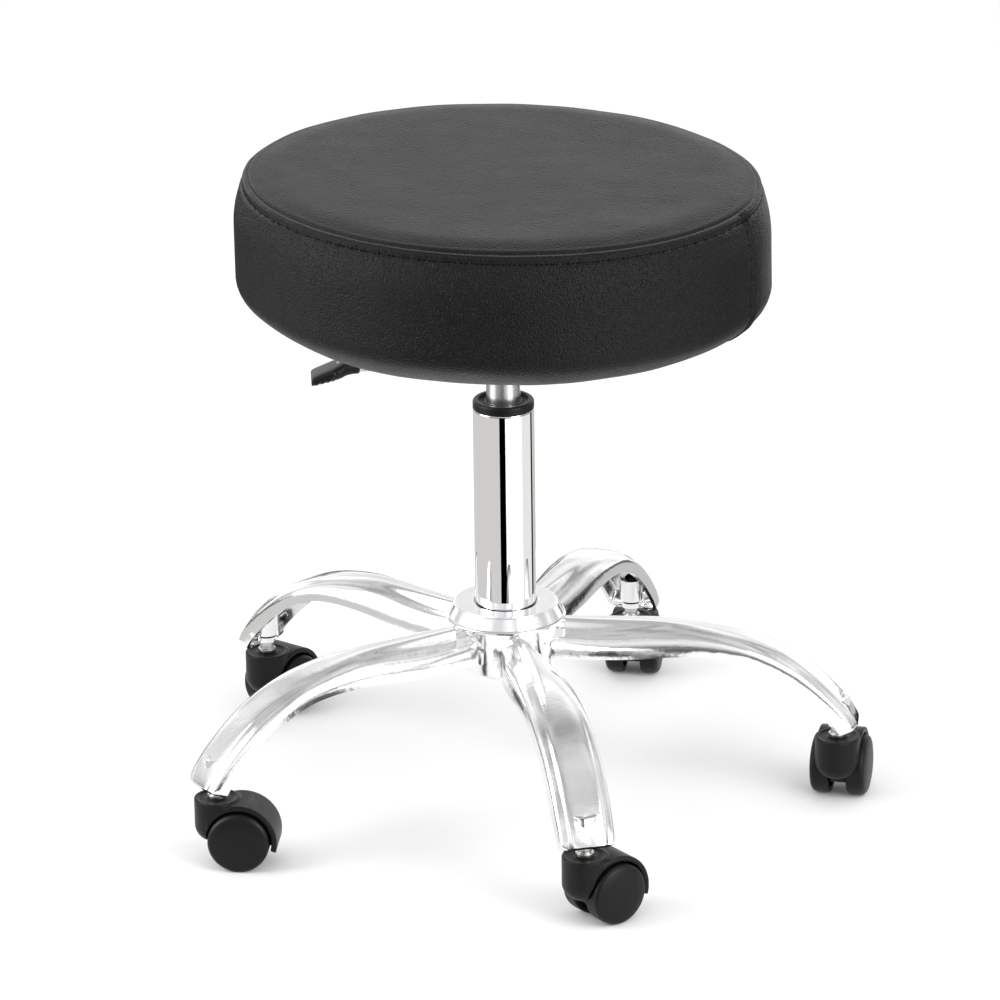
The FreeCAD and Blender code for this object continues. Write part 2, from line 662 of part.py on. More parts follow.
def arm_section(share, half_width, depth, squareness, inset, lower):
    """One closed section across the arm: a smooth crown and a straight underside."""
    reach, z, slope = arm_point(arm_length() * share)
    down = Vector(-math.sin(slope), 0, -math.cos(slope))
    top = Vector(reach, 0, z)
    points = []
    count = 12
    for k in range(count + 1):
        t = math.pi * k / count
        c, s = math.cos(t), math.sin(t)
        y = (half_width - inset) * math.copysign(abs(c) ** (2 / squareness), c)
        rise = (depth + lower - inset) * abs(s) ** (2 / squareness)
        points.append(top + Vector(0, y, 0) + down * (depth + lower - rise))
    crown = Part.BSplineCurve()
    crown.interpolate(points)
    return Part.Wire([crown.toShape(), Part.LineSegment(points[-1], points[0]).toShape()])


def arm_solid(inset, lower, stations):
    wires = [arm_section(share, width, depth, square, inset, lower)
             for share, width, depth, square in stations]
    return Part.makeLoft(wires, True, False)


def make_arm():
    """One arm along +X: a lofted shell, open underneath, with the castor's boss and its ribs."""
    outer = arm_solid(0.0, 0.0, arm_stations)
    length = arm_length()
    tip_reach, tip_z, tip_slope = arm_point(length)
    inner_stations = [s for s in arm_stations if s[0] >= 0.16]
    last = inner_stations[-1]
    inner_stations[-1] = (1.0 - arm_wall / length, last[1], last[2], last[3])
    hollow = arm_solid(arm_wall, 3.0, inner_stations)
    arm = outer.cut(hollow)
    # The tip is rounded in plan by a tool that stands square to the sloping blade.
    half = arm_stations[-1][1] + 6
    tip_corner = [Part.makeBox(half * 2, half, 80, Vector(-arm_end_round, side, -40)) for side in (-half, 0)]
    blank = tip_corner[0].fuse(tip_corner[1]).removeSplitter()
    nose_half = arm_stations[-1][1] + 0.6
    corner_y = nose_half - arm_end_round
    keep = Part.makeBox(half * 2, 2 * corner_y, 80, Vector(-half * 2, -corner_y, -40))
    keep = keep.fuse([Part.makeBox(half * 2, 2 * nose_half, 80,
                                   Vector(-half * 2 - arm_end_round, -nose_half, -40)),
                      Part.makeCylinder(arm_end_round, 80, Vector(-arm_end_round, corner_y, -40)),
                      Part.makeCylinder(arm_end_round, 80, Vector(-arm_end_round, -corner_y, -40))])
    cutter = blank.cut(keep)
    cutter.rotate(ORIGIN, Vector(0, 1, 0), math.degrees(tip_slope))
    cutter.translate(Vector(tip_reach, 0, tip_z))
    arm = arm.cut(cutter)

    boss = Part.makeCylinder(boss_radius, boss_height, Vector(castor_circle, 0, boss_bottom_z))
    rib_reach = castor_circle - boss_radius - 12
    cross_rib = Part.makeBox(boss_rib, 60, boss_height - 6,
                             Vector(castor_circle - boss_rib / 2, -30, boss_bottom_z + 6))
    long_rib = Part.makeBox(28, boss_rib, 40, Vector(rib_reach, -boss_rib / 2, boss_bottom_z + 18))
    core = arm_solid(arm_wall / 2, 0.0, arm_stations)
    fittings = boss.fuse([cross_rib.common(core), long_rib.common(core)])
    over = Part.makeBox(80, 80, 80, Vector(castor_circle - 40, -40, boss_bottom_z)).cut(outer)
    above = over.common(Part.makeBox(90, 90, 60, Vector(castor_circle - 5, -45, boss_bottom_z + 18)))
    fittings = fittings.cut(above)
    return arm.fuse(fittings).removeSplitter()


def make_base():
    """Hub and five arms as one casting, with the column's bore and the castor stems' bores."""
    hub = revolved((
        (0, hub_bottom_z), (hub_bottom_radius - 1.5, hub_bottom_z), (hub_bottom_radius, hub_bottom_z + 1.5),
        (hub_top_radius, flange_lip_z - 2), (flange_radius - 2.0, flange_lip_z - 0.6),
        (flange_radius, flange_lip_z + 0.6), (flange_radius, flange_lip_z + flange_lip),
        (flange_radius - 1.2, flange_lip_z + flange_lip + 0.7),
        (flange_top_radius, flange_top_z - 0.5), (flange_top_radius - 0.6, flange_top_z), (0, flange_top_z)))
    arm = make_arm()
    base = hub.fuse(ring_of(arm, arm_count))
    top_radius = tube_radius + fit_clearance
    bore = Part.makeCone(top_radius - tube_taper, top_radius, flange_top_z - hub_bottom_z,
                         Vector(0, 0, hub_bottom_z))
    mouth = Part.makeCylinder(tube_radius + hub_bore_relief, hub_bore_relief_depth + 1,
                              Vector(0, 0, flange_top_z - hub_bore_relief_depth))
    stem_bore = Part.makeCylinder(stem_radius + stem_bore_clearance, stem_top_z + 1 - boss_bottom_z + 5,
                                  Vector(castor_circle, 0, boss_bottom_z - 5))
    base = base.cut(bore).cut(mouth).cut(Part.makeCompound(ring_of(stem_bore, arm_count)))
    write("star_base", base.removeSplitter())


# ---------------------------------------------------------------- castors
def wheel():
    """One wheel with its axis along +Y, from y = 0 at its inner face to its domed outer face."""
    slope = math.radians(wheel_face_slope)
    corner_r = wheel_radius - wheel_shoulder
    face_r = corner_r + wheel_shoulder * math.sin(slope)
    dome = (face_r - wheel_centre_flat) * math.tan(slope / 2)
    face_y = wheel_width - dome
    tread_y = face_y - wheel_shoulder * math.cos(slope)
    half = (math.pi / 2 - slope) / 2
    dome_radius = (face_r - wheel_centre_flat) / math.sin(slope)
    dome_mid = (wheel_centre_flat + dome_radius * math.sin(slope / 2),
                wheel_width - dome_radius * (1 - math.cos(slope / 2)))
    inner_edge = (wheel_radius - wheel_inner_chamfer, 0)
    tread_start = (wheel_radius, wheel_inner_chamfer)
    edges = [line((0, 0), inner_edge), line(inner_edge, tread_start),
             line(tread_start, (wheel_radius, tread_y)),
             arc((wheel_radius, tread_y),
                 (corner_r + wheel_shoulder * math.cos(half), tread_y + wheel_shoulder * math.sin(half)),
                 (face_r, face_y)),
             arc((face_r, face_y), dome_mid, (wheel_centre_flat, wheel_width)),
             line((wheel_centre_flat, wheel_width), (0, wheel_width)), line((0, wheel_width), (0, 0))]
    solid = revolved_edges(edges)
    pocket = tube(wheel_radius - wheel_rim, wheel_hub_radius, -1, wheel_pocket_depth)
    bore_depth = axle_half_length - wheel_inner_face + 0.5
    bore = Part.makeCylinder(axle_radius + axle_clearance, bore_depth + 1, Vector(0, 0, -1))
    solid = solid.cut(pocket).cut(bore)
    solid.rotate(ORIGIN, Vector(1, 0, 0), -90)
    return solid


def castor_housing():
    """Socket, web and hood of one castor; the stem is on the Z axis and the wheels trail along +X."""
    axle = Vector(trail, 0, wheel_radius)
    chin = housing_chin_radius
    flat = housing_radius - chin
    low = housing_bottom_z
    bend = chin * math.sqrt(0.5)
    socket = revolved_edges([line((0, low), (flat, low)),
                             arc((flat, low), (flat + bend, low + chin - bend), (housing_radius, low + chin)),
                             line((housing_radius, low + chin), (housing_radius, housing_top_z)),
                             line((housing_radius, housing_top_z), (0, housing_top_z)),
                             line((0, housing_top_z), (0, low))])
    hood_in = wheel_radius + hood_gap
    hood = Part.makeCylinder(hood_radius, hood_width, axle + Vector(0, -hood_width / 2, 0), Vector(0, 1, 0))
    below = Part.makeBox(200, 80, 80, Vector(-100, -40, -80))
    below.rotate(ORIGIN, Vector(0, 1, 0), -hood_end_angle)
    below.translate(axle)
    hood = hood.cut(below)
    hood_front = Part.makeBox(60, 80, 80, Vector(-60, -40, -40))
    hood_front.translate(Vector(trail - wheel_radius, 0, wheel_radius))
    hood = hood.cut(hood_front)
    body = socket.fuse(hood)
    for side in (-1, 1):
        y0 = web_width / 2 if side > 0 else -web_width / 2 - 40
        body = body.cut(Part.makeCylinder(hood_in, 40, axle + Vector(0, y0, 0), Vector(0, 1, 0)))
    web = Part.makeCylinder(web_radius, web_width, axle + Vector(0, -web_width / 2, 0), Vector(0, 1, 0))
    web_low = wheel_radius - web_radius / 2
    below_web = Part.makeBox(120, 80, 40, Vector(-40, -40, web_low - 40))
    body = body.fuse(web.cut(below_web))
    dish = Part.makeCylinder(housing_dish_radius, housing_dish_depth + 1,
                             Vector(0, 0, housing_top_z - housing_dish_depth))
    dish = dish.cut(Part.makeCylinder(stem_collar_radius + 0.6, 10, Vector(0, 0, housing_top_z - 5)))
    stem_bore = Part.makeCylinder(stem_radius + stem_bore_clearance, 60,
                                  Vector(0, 0, stem_bottom_z - stem_end_gap))
    axle_bore = Part.makeCylinder(axle_radius + fit_clearance, 60,
                                  axle + Vector(0, -30, 0), Vector(0, 1, 0))
    return body.cut(dish).cut(stem_bore).cut(axle_bore).removeSplitter()


def castor_stem():
    """Journal, collar and grip-ring pin of one stem on the Z axis."""
    collar_low = housing_top_z + stem_collar_gap
    return revolved((
        (0, stem_bottom_z), (stem_radius - 1, stem_bottom_z), (stem_radius, stem_bottom_z + 1),
        (stem_radius, collar_low), (stem_collar_radius - 0.6, collar_low),
        (stem_collar_radius, collar_low + 0.6),
        (stem_collar_radius, collar_low + stem_collar_height - 0.6),
        (stem_collar_radius - 0.6, collar_low + stem_collar_height),
        (stem_radius, collar_low + stem_collar_height), (stem_radius, ring_z),
        (stem_radius - ring_groove, ring_z), (stem_radius - ring_groove, ring_z + ring_height),
        (stem_radius, ring_z + ring_height), (stem_radius, stem_top_z - 2), (stem_radius - 2, stem_top_z),
        (0, stem_top_z)))


def make_castors():
    housing = castor_housing()
    stem = castor_stem()
    ring = tube(stem_radius, stem_radius - ring_groove + fit_clearance,
                ring_z + 0.2, ring_z + ring_height - 0.2)
    ring = ring.cut(Part.makeBox(20, 2.4, 20, Vector(0, -1.2, ring_z - 5)))
    axle = Part.makeCylinder(axle_radius, 2 * axle_half_length,
                             Vector(trail, -axle_half_length, wheel_radius), Vector(0, 1, 0))
    left = moved(wheel(), trail, wheel_inner_face, wheel_radius)
    right = moved(turned(wheel(), 180), trail, -wheel_inner_face, wheel_radius)
    grip_rings = []
    for k in range(arm_count):
        arm_angle = 360.0 * k / arm_count
        for name, shape in (("housing", housing), ("axle", axle),
                            ("wheel_left", left), ("wheel_right", right)):
            placed = turned(shape, castor_yaw[k])
            placed.translate(Vector(castor_circle, 0, 0))
            placed = turned_about_stem(placed, arm_angle)
            write(f"castor_{k}_{name}", placed)
        write(f"castor_{k}_stem", turned(moved(stem, castor_circle, 0, 0), arm_angle))
        grip_rings.append(turned(moved(ring, castor_circle, 0, 0), arm_angle))
    write("grip_rings", *grip_rings)


def turned_about_stem(shape, arm_angle):
    """Carries a castor round to its arm and keeps the direction in which it trails."""
    carried = turned(shape, arm_angle)
    angle = math.radians(arm_angle)
    stem = Vector(castor_circle * math.cos(angle), castor_circle * math.sin(angle), 0)
    carried.rotate(stem, Z, -arm_angle)
    return carried


os.makedirs(OUT, exist_ok=True)
low, high = make_seat()
make_seat_plate(low, high)
make_lever()
make_column()
make_base()
make_castors()
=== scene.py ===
"""Adjustable swivel stool: the look of every piece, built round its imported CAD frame.

Metres in the frame: +Z is up, the origin is on the column's axis at floor level and arm 0 points along +X.
Outlines and stations are written in millimetres and are scaled once, when a mesh becomes a piece.
"""

import json
import logging
import math
from collections.abc import Callable, Sequence
from dataclasses import dataclass
from enum import Enum

import bmesh
import bpy
from mathutils import Matrix, Vector, noise
from mathutils.bvhtree import BVHTree

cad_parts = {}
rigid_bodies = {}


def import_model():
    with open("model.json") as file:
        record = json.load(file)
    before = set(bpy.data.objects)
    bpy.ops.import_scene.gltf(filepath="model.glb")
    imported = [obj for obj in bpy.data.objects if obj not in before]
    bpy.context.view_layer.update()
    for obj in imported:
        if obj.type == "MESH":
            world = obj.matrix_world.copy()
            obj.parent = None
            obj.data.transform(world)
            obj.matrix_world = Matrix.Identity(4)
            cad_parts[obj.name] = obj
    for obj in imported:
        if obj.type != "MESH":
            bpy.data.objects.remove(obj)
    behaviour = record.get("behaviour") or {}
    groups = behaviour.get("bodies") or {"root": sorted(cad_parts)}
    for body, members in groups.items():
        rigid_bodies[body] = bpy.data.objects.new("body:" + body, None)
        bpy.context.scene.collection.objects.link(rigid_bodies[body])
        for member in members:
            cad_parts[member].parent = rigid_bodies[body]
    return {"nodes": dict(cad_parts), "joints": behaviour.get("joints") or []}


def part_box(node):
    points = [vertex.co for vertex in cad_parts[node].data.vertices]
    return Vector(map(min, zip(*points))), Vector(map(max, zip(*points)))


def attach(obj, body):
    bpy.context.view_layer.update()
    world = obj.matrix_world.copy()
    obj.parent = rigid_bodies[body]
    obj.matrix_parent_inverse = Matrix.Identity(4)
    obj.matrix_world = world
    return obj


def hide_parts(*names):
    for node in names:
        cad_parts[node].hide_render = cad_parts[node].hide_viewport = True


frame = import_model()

MM = 0.001
log = logging.getLogger("stool")

Point = tuple[float, float]
Corner = tuple[float, float, float]
Colour = tuple[float, float, float]


def joint(name: str) -> dict:
    """The frame's joint of that name."""
    return next(found for found in frame["joints"] if found["name"] == name)


# ---------------------------------------------------------------- shape helpers
def smoothstep(low: float, high: float, value: float) -> float:
    """0 below low, 1 above high, and a smooth ramp between them."""
    share = min(1.0, max(0.0, (value - low) / (high - low)))
    return share * share * (3.0 - 2.0 * share)


def bell(value: float, middle: float, width: float) -> float:
    """A smooth bump of height 1 at middle."""
    return math.exp(-(((value - middle) / width) ** 2))


def along(table: Sequence[tuple[float, ...]], share: float, column: int) -> float:
    """Reads one column of a table of stations, along straight lines between its rows.

    Args:
        table: rows whose first number is the station's share of the length, in order.
        share: where to read, 0 to 1.
        column: which number of the row to read.

    Returns:
        The value there.
    """
    rows = list(table)
    for low, high in zip(rows, rows[1:]):
        if share <= high[0]:
            part = (share - low[0]) / (high[0] - low[0])
            return low[column] + (high[column] - low[column]) * part
    return rows[-1][column]


def rounded(corners: Sequence[Corner], steps: int = 4, ring: bool = False) -> list[Point]:
    """An outline whose corners are rounded off with arcs.

    Args:
        corners: (radius, height, fillet) of each corner, in order.
        steps: points along each fillet.
        ring: whether the outline closes on itself.

    Returns:
        The points of the outline.
    """
    count = len(corners)
    points: list[Point] = []
    for index, (x, z, fillet) in enumerate(corners):
        at_end = index in (0, count - 1) and not ring
        if fillet <= 0.0 or at_end:
            points.append((x, z))
            continue
        here = Vector((x, z))
        before = Vector(corners[index - 1][:2]) - here
        after = Vector(corners[(index + 1) % count][:2]) - here
        half = before.angle(after) / 2.0
        reach = min(fillet / math.tan(half), before.length * 0.48, after.length * 0.48)
        start = here + before.normalized() * reach
        stop = here + after.normalized() * reach
        for step in range(steps + 1):
            t = step / steps
            point = start * (1 - t) ** 2 + here * 2 * t * (1 - t) + stop * t * t
            points.append((point.x, point.y))
    return points


def braced(outline: Sequence[Point], ring: bool) -> list[Point]:
    """The outline with a point close to both ends of every long straight run, so that fillets shade tightly."""
    long_run, inset = 5.0, 0.7
    points: list[Point] = []
    last = len(outline) - 1
    for index, here in enumerate(outline):
        points.append(here)
        if index == last and not ring:
            break
        following = outline[(index + 1) % len(outline)]
        length = math.dist(here, following)
        if length > long_run:
            for share in (inset / length, 1.0 - inset / length):
                points.append((here[0] + (following[0] - here[0]) * share, here[1] + (following[1] - here[1]) * share))
    return points


def lathe(outline: Sequence[Point], steps: int, ring: bool = False) -> bmesh.types.BMesh:
    """Turns an outline round the Z axis.

    Args:
        outline: (radius, height) points; the ends lie on the axis unless it is a ring.
        steps: divisions of the full turn.
        ring: whether the outline closes on itself.

    Returns:
        The turned mesh, closed, with its faces pointing outwards.
    """
    bm = bmesh.new()
    verts = [bm.verts.new((r, 0.0, z)) for r, z in braced(outline, ring)]
    pairs = list(zip(verts, verts[1:]))
    if ring:
        pairs.append((verts[-1], verts[0]))
    edges = [bm.edges.new(pair) for pair in pairs]
    turn_round(bm, verts + edges, steps)
    return bm


def turn_round(bm: bmesh.types.BMesh, geometry: list, steps: int) -> None:
    """Spins geometry a full turn round Z, welds the seam and the poles, and points the faces outwards."""
    bmesh.ops.spin(
        bm, geom=geometry, cent=(0, 0, 0), axis=(0, 0, 1), dvec=(0, 0, 0), angle=math.tau,
        steps=steps, use_merge=True, use_normal_flip=False, use_duplicate=False,
    )
    bmesh.ops.remove_doubles(bm, verts=bm.verts, dist=1e-4)
    bmesh.ops.recalc_face_normals(bm, faces=bm.faces)


def skin(bm: bmesh.types.BMesh, around: int, length: int, place: Callable[[float, float], Vector]) -> None:
    """Lays a grid over a surface and closes it into a tube with capped ends.

    Args:
        bm: the mesh that receives it.
        around: cells round the section.
        length: cells along the surface.
        place: gives the point for (share round the section, share along the surface).
    """
    made = bmesh.ops.create_grid(bm, x_segments=around, y_segments=length, size=0.5)["verts"]
    for vert in made:
        vert.co = place(vert.co.x + 0.5, vert.co.y + 0.5)
    bmesh.ops.remove_doubles(bm, verts=made, dist=1e-5)
    alive = [vert for vert in made if vert.is_valid]
    ends = [edge for vert in alive for edge in vert.link_edges if edge.is_boundary]
    bmesh.ops.holes_fill(bm, edges=list(dict.fromkeys(ends)), sides=0)


def append_mesh(target: bmesh.types.BMesh, source: bmesh.types.BMesh, place: Matrix) -> None:
    """Adds a placed copy of one mesh to another."""
    scratch = bpy.data.meshes.new("scratch")
    source.to_mesh(scratch)
    scratch.transform(place)
    if place.determinant() < 0:
        scratch.flip_normals()
    target.from_mesh(scratch)
    bpy.data.meshes.remove(scratch)


def object_from(name: str, bm: bmesh.types.BMesh, crease_deg: float = 38.0) -> bpy.types.Object:
    """Makes an object at the origin from a mesh in millimetres.

    Args:
        name: the piece's name.
        bm: the mesh, which is freed.
        crease_deg: edges sharper than this stay sharp.

    Returns:
        The linked object, in metres.
    """
    bmesh.ops.scale(bm, vec=(MM, MM, MM), verts=bm.verts)
    mesh = bpy.data.meshes.new(name)
    bm.to_mesh(mesh)
    bm.free()
    mesh.shade_smooth()
    mesh.set_sharp_from_angle(angle=math.radians(crease_deg))
    obj = bpy.data.objects.new(name, mesh)
    bpy.context.scene.collection.objects.link(obj)
    return obj


def mesh_with_modifiers(obj: bpy.types.Object) -> bpy.types.Mesh:
    """The object's mesh as its modifiers leave it."""
    depsgraph = bpy.context.evaluated_depsgraph_get()
    depsgraph.update()
    return bpy.data.meshes.new_from_object(obj.evaluated_get(depsgraph))


def settle(
    obj: bpy.types.Object, finish: "Finish", body: str, stands_for: Sequence[str] = (), slot: str = ""
) -> None:
    """Dresses a piece, hangs it on its body and hides the CAD nodes it stands for."""
    obj.data.materials.clear()
    obj.data.materials.append(finish.material())
    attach(obj, body)
    if stands_for:
        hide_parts(*stands_for)
    log.info("%s: %d faces, %s, rides on %s", obj.name, len(obj.data.polygons), finish.name, body)


def dress(node: str, finish: "Finish") -> None:
    """Gives a CAD node that stays in view its finish."""
    obj = frame["nodes"][node]
    if not obj.data.materials:
        obj.data.materials.append(None)
    for place in obj.material_slots:
        place.material = finish.material()
    log.info("%s: CAD shape, %s", node, finish.name)


def softened_copy(node: str, name: str, edge_mm: float) -> bpy.types.Object:
    """A welded copy of a CAD node with its edges eased.

    Args:
        node: the CAD node to copy.
        name: the new piece's name.
        edge_mm: width of the eased edges.

    Returns:
        The new object.
    """
    bm = bmesh.new()
    bm.from_mesh(frame["nodes"][node].data)
    bmesh.ops.remove_doubles(bm, verts=bm.verts, dist=1e-6)
    bmesh.ops.dissolve_limit(
        bm, angle_limit=math.radians(1.0), verts=bm.verts, edges=bm.edges, use_dissolve_boundaries=False
    )
    bmesh.ops.scale(bm, vec=(1 / MM, 1 / MM, 1 / MM), verts=bm.verts)
    obj = object_from(name, bm, 32.0)
    bevel = obj.modifiers.new("eased_edges", "BEVEL")
    bevel.width = edge_mm * MM
    bevel.segments = 2
    bevel.limit_method = "ANGLE"
    bevel.angle_limit = math.radians(34.0)
    bevel.use_clamp_overlap = True
    return obj


# ---------------------------------------------------------------- node groups
class Tree:
    """A node tree with short calls for adding and joining nodes."""

    def __init__(self, tree: bpy.types.NodeTree) -> None:
        """Keeps the tree."""
        self.tree = tree

    def node(self, kind: str, **values: object) -> bpy.types.Node:
        """Adds a node. Names that the node has as settings are set; the rest are inputs."""
        made = self.tree.nodes.new(kind)
        for key, value in values.items():
            if hasattr(made, key):
                setattr(made, key, value)
            else:
                made.inputs[key.replace("_", " ")].default_value = value
        return made

    def join(self, source: bpy.types.NodeSocket, target: bpy.types.NodeSocket) -> None:
        """Links two sockets."""
        self.tree.links.new(source, target)

    def math(self, operation: str, *inputs: object, clamp: bool = False) -> bpy.types.NodeSocket:
        """A Math node whose inputs are sockets or numbers. Returns its output."""
        made = self.tree.nodes.new("ShaderNodeMath")
        made.operation = operation
        made.use_clamp = clamp
        for place, value in zip(made.inputs, inputs):
            if isinstance(value, bpy.types.NodeSocket):
                self.join(value, place)
            else:
                place.default_value = value
        return made.outputs[0]


class SurfaceGroups:
    """Effects that several finishes share, each built once as a node group."""

    def __init__(self) -> None:
        """Starts with no group built."""
        self.made: dict[str, bpy.types.NodeTree] = {}

    def group(self, name: str) -> bpy.types.NodeTree:
        """The group of that name, built when it is first asked for."""
        if name not in self.made:
            self.made[name] = getattr(self, "build_" + name)()
        return self.made[name]

    @staticmethod
    def start(name: str, inputs: Sequence[tuple[str, str, object]], outputs: Sequence[tuple[str, str]]) -> Tree:
        """A new group with its sockets.

        Args:
            name: the group's name.
            inputs: (name, socket type, default) of each input.
            outputs: (name, socket type) of each output.

        Returns:
            The tree, with nodes named "in" and "out".
        """
        group = bpy.data.node_groups.new(name, "ShaderNodeTree")
        for label, kind, default in inputs:
            socket = group.interface.new_socket(name=label, in_out="INPUT", socket_type=kind)
            if default is not None:
                socket.default_value = default
        for label, kind in outputs:
            group.interface.new_socket(name=label, in_out="OUTPUT", socket_type=kind)
        tree = Tree(group)
        tree.node("NodeGroupInput", name="in")
        tree.node("NodeGroupOutput", name="out")
        return tree

    @staticmethod
    def sized(tree: Tree) -> bpy.types.NodeSocket:
        """The group's Vector input divided by its Size input."""
        source = tree.tree.nodes["in"]
        scaled = tree.node("ShaderNodeVectorMath", operation="SCALE")
        tree.join(source.outputs["Vector"], scaled.inputs[0])
        tree.join(tree.math("DIVIDE", 1.0, source.outputs["Size"]), scaled.inputs["Scale"])
        return scaled.outputs[0]

    def build_pebbles(self) -> bpy.types.NodeTree:
        """Leather grain: soft pebbles that meet in creases."""
        tree = self.start(
            "leather_pebbles",
            [("Vector", "NodeSocketVector", None), ("Size", "NodeSocketFloat", 0.001)],
            [("Height", "NodeSocketFloat")],
        )
        vector = self.sized(tree)
        wander = tree.node("ShaderNodeTexNoise", Scale=0.6, Detail=2.0)
        bend = tree.node("ShaderNodeMix", data_type="VECTOR")
        bend.inputs[0].default_value = 0.25
        tree.join(vector, wander.inputs["Vector"])
        tree.join(vector, bend.inputs[4])
        tree.join(wander.outputs["Color"], bend.inputs[5])
        cells = tree.node("ShaderNodeTexVoronoi", feature="F1", Scale=1.3)
        tree.join(bend.outputs[1], cells.inputs["Vector"])
        fine = tree.node("ShaderNodeTexNoise", Scale=3.0, Detail=2.0)
        tree.join(vector, fine.inputs["Vector"])
        dome = tree.math("SUBTRACT", 1.0, tree.math("POWER", cells.outputs["Distance"], 2.2), clamp=True)
        height = tree.math("ADD", tree.math("MULTIPLY", dome, 0.8), tree.math("MULTIPLY", fine.outputs[0], 0.2))
        tree.join(height, tree.tree.nodes["out"].inputs["Height"])
        return tree.tree

    def build_fine_grain(self) -> bpy.types.NodeTree:
        """Spark-eroded mould texture, powder coat or casting skin, by size."""
        tree = self.start(
            "fine_grain",
            [("Vector", "NodeSocketVector", None), ("Size", "NodeSocketFloat", 0.0005)],
            [("Height", "NodeSocketFloat")],
        )
        texture = tree.node("ShaderNodeTexNoise", Scale=1.0, Detail=3.0, Roughness=0.55)
        tree.join(self.sized(tree), texture.inputs["Vector"])
        tree.join(texture.outputs[0], tree.tree.nodes["out"].inputs["Height"])
        return tree.tree

    def build_turned_lines(self) -> bpy.types.NodeTree:
        """Fine lines round the Z axis, as grinding or turning leaves."""
        tree = self.start(
            "turned_lines",
            [("Vector", "NodeSocketVector", None), ("Size", "NodeSocketFloat", 0.0003)],
            [("Height", "NodeSocketFloat")],
        )
        split = tree.node("ShaderNodeSeparateXYZ")
        tree.join(self.sized(tree), split.inputs[0])
        radius = tree.math(
            "SQRT",
            tree.math("ADD", tree.math("POWER", split.outputs[0], 2.0), tree.math("POWER", split.outputs[1], 2.0)),
        )
        texture = tree.node("ShaderNodeTexNoise", noise_dimensions="1D", Scale=1.0, Detail=2.0)
        tree.join(tree.math("ADD", split.outputs[2], radius), texture.inputs["W"])
        tree.join(texture.outputs[0], tree.tree.nodes["out"].inputs["Height"])
        return tree.tree

    def build_smudges(self) -> bpy.types.NodeTree:
        """Roughness that wanders a little, as handling and polishing leave it."""
        tree = self.start(
            "handling_smudges",
            [
                ("Vector", "NodeSocketVector", None), ("Size", "NodeSocketFloat", 0.05),
                ("Roughness", "NodeSocketFloat", 0.3), ("Amount", "NodeSocketFloat", 0.1),
            ],
            [("Roughness", "NodeSocketFloat")],
        )
        texture = tree.node("ShaderNodeTexNoise", Scale=1.0, Detail=5.0, Roughness=0.6)
        tree.join(self.sized(tree), texture.inputs["Vector"])
        source = tree.tree.nodes["in"]
        swing = tree.math("MULTIPLY", tree.math("SUBTRACT", texture.outputs[0], 0.5), source.outputs["Amount"])
        total = tree.math("ADD", source.outputs["Roughness"], swing, clamp=True)
        tree.join(total, tree.tree.nodes["out"].inputs["Roughness"])
        return tree.tree

    def build_tone(self) -> bpy.types.NodeTree:
        """A colour that drifts lighter and darker over the surface."""
        tree = self.start(
            "drifting_tone",
            [
                ("Vector", "NodeSocketVector", None), ("Size", "NodeSocketFloat", 0.05),
                ("Colour", "NodeSocketColor", None), ("Amount", "NodeSocketFloat", 0.1),
            ],
            [("Colour", "NodeSocketColor")],
        )
        texture = tree.node("ShaderNodeTexNoise", Scale=1.0, Detail=4.0)
        tree.join(self.sized(tree), texture.inputs["Vector"])
        source = tree.tree.nodes["in"]
        swing = tree.math("MULTIPLY", tree.math("SUBTRACT", texture.outputs[0], 0.5), source.outputs["Amount"])
        change = tree.node("ShaderNodeVectorMath", operation="SCALE")
        tree.join(source.outputs["Colour"], change.inputs[0])
        tree.join(tree.math("ADD", 1.0, swing), change.inputs["Scale"])
        tree.join(change.outputs[0], tree.tree.nodes["out"].inputs["Colour"])
        return tree.tree

    def build_dust(self) -> bpy.types.NodeTree:
        """Light dust on faces that look up, broken by noise."""
        tree = self.start(
            "settled_dust",
            [
                ("Vector", "NodeSocketVector", None), ("Colour", "NodeSocketColor", None),
                ("Amount", "NodeSocketFloat", 0.05),
            ],
            [("Colour", "NodeSocketColor")],
        )
        source = tree.tree.nodes["in"]
        facing = tree.node("ShaderNodeNewGeometry")
        split = tree.node("ShaderNodeSeparateXYZ")
        tree.join(facing.outputs["Normal"], split.inputs[0])
        texture = tree.node("ShaderNodeTexNoise", Scale=60.0, Detail=6.0, Roughness=0.7)
        tree.join(source.outputs["Vector"], texture.inputs["Vector"])
        up = tree.math("MAXIMUM", split.outputs[2], 0.0)
        broken = tree.math("MULTIPLY", up, texture.outputs[0])
        mask = tree.math("MULTIPLY", broken, source.outputs["Amount"], clamp=True)
        mix = tree.node("ShaderNodeMix", data_type="RGBA")
        mix.inputs[7].default_value = (0.32, 0.30, 0.27, 1.0)
        tree.join(mask, mix.inputs[0])
        tree.join(source.outputs["Colour"], mix.inputs[6])
        tree.join(mix.outputs[2], tree.tree.nodes["out"].inputs["Colour"])
        return tree.tree

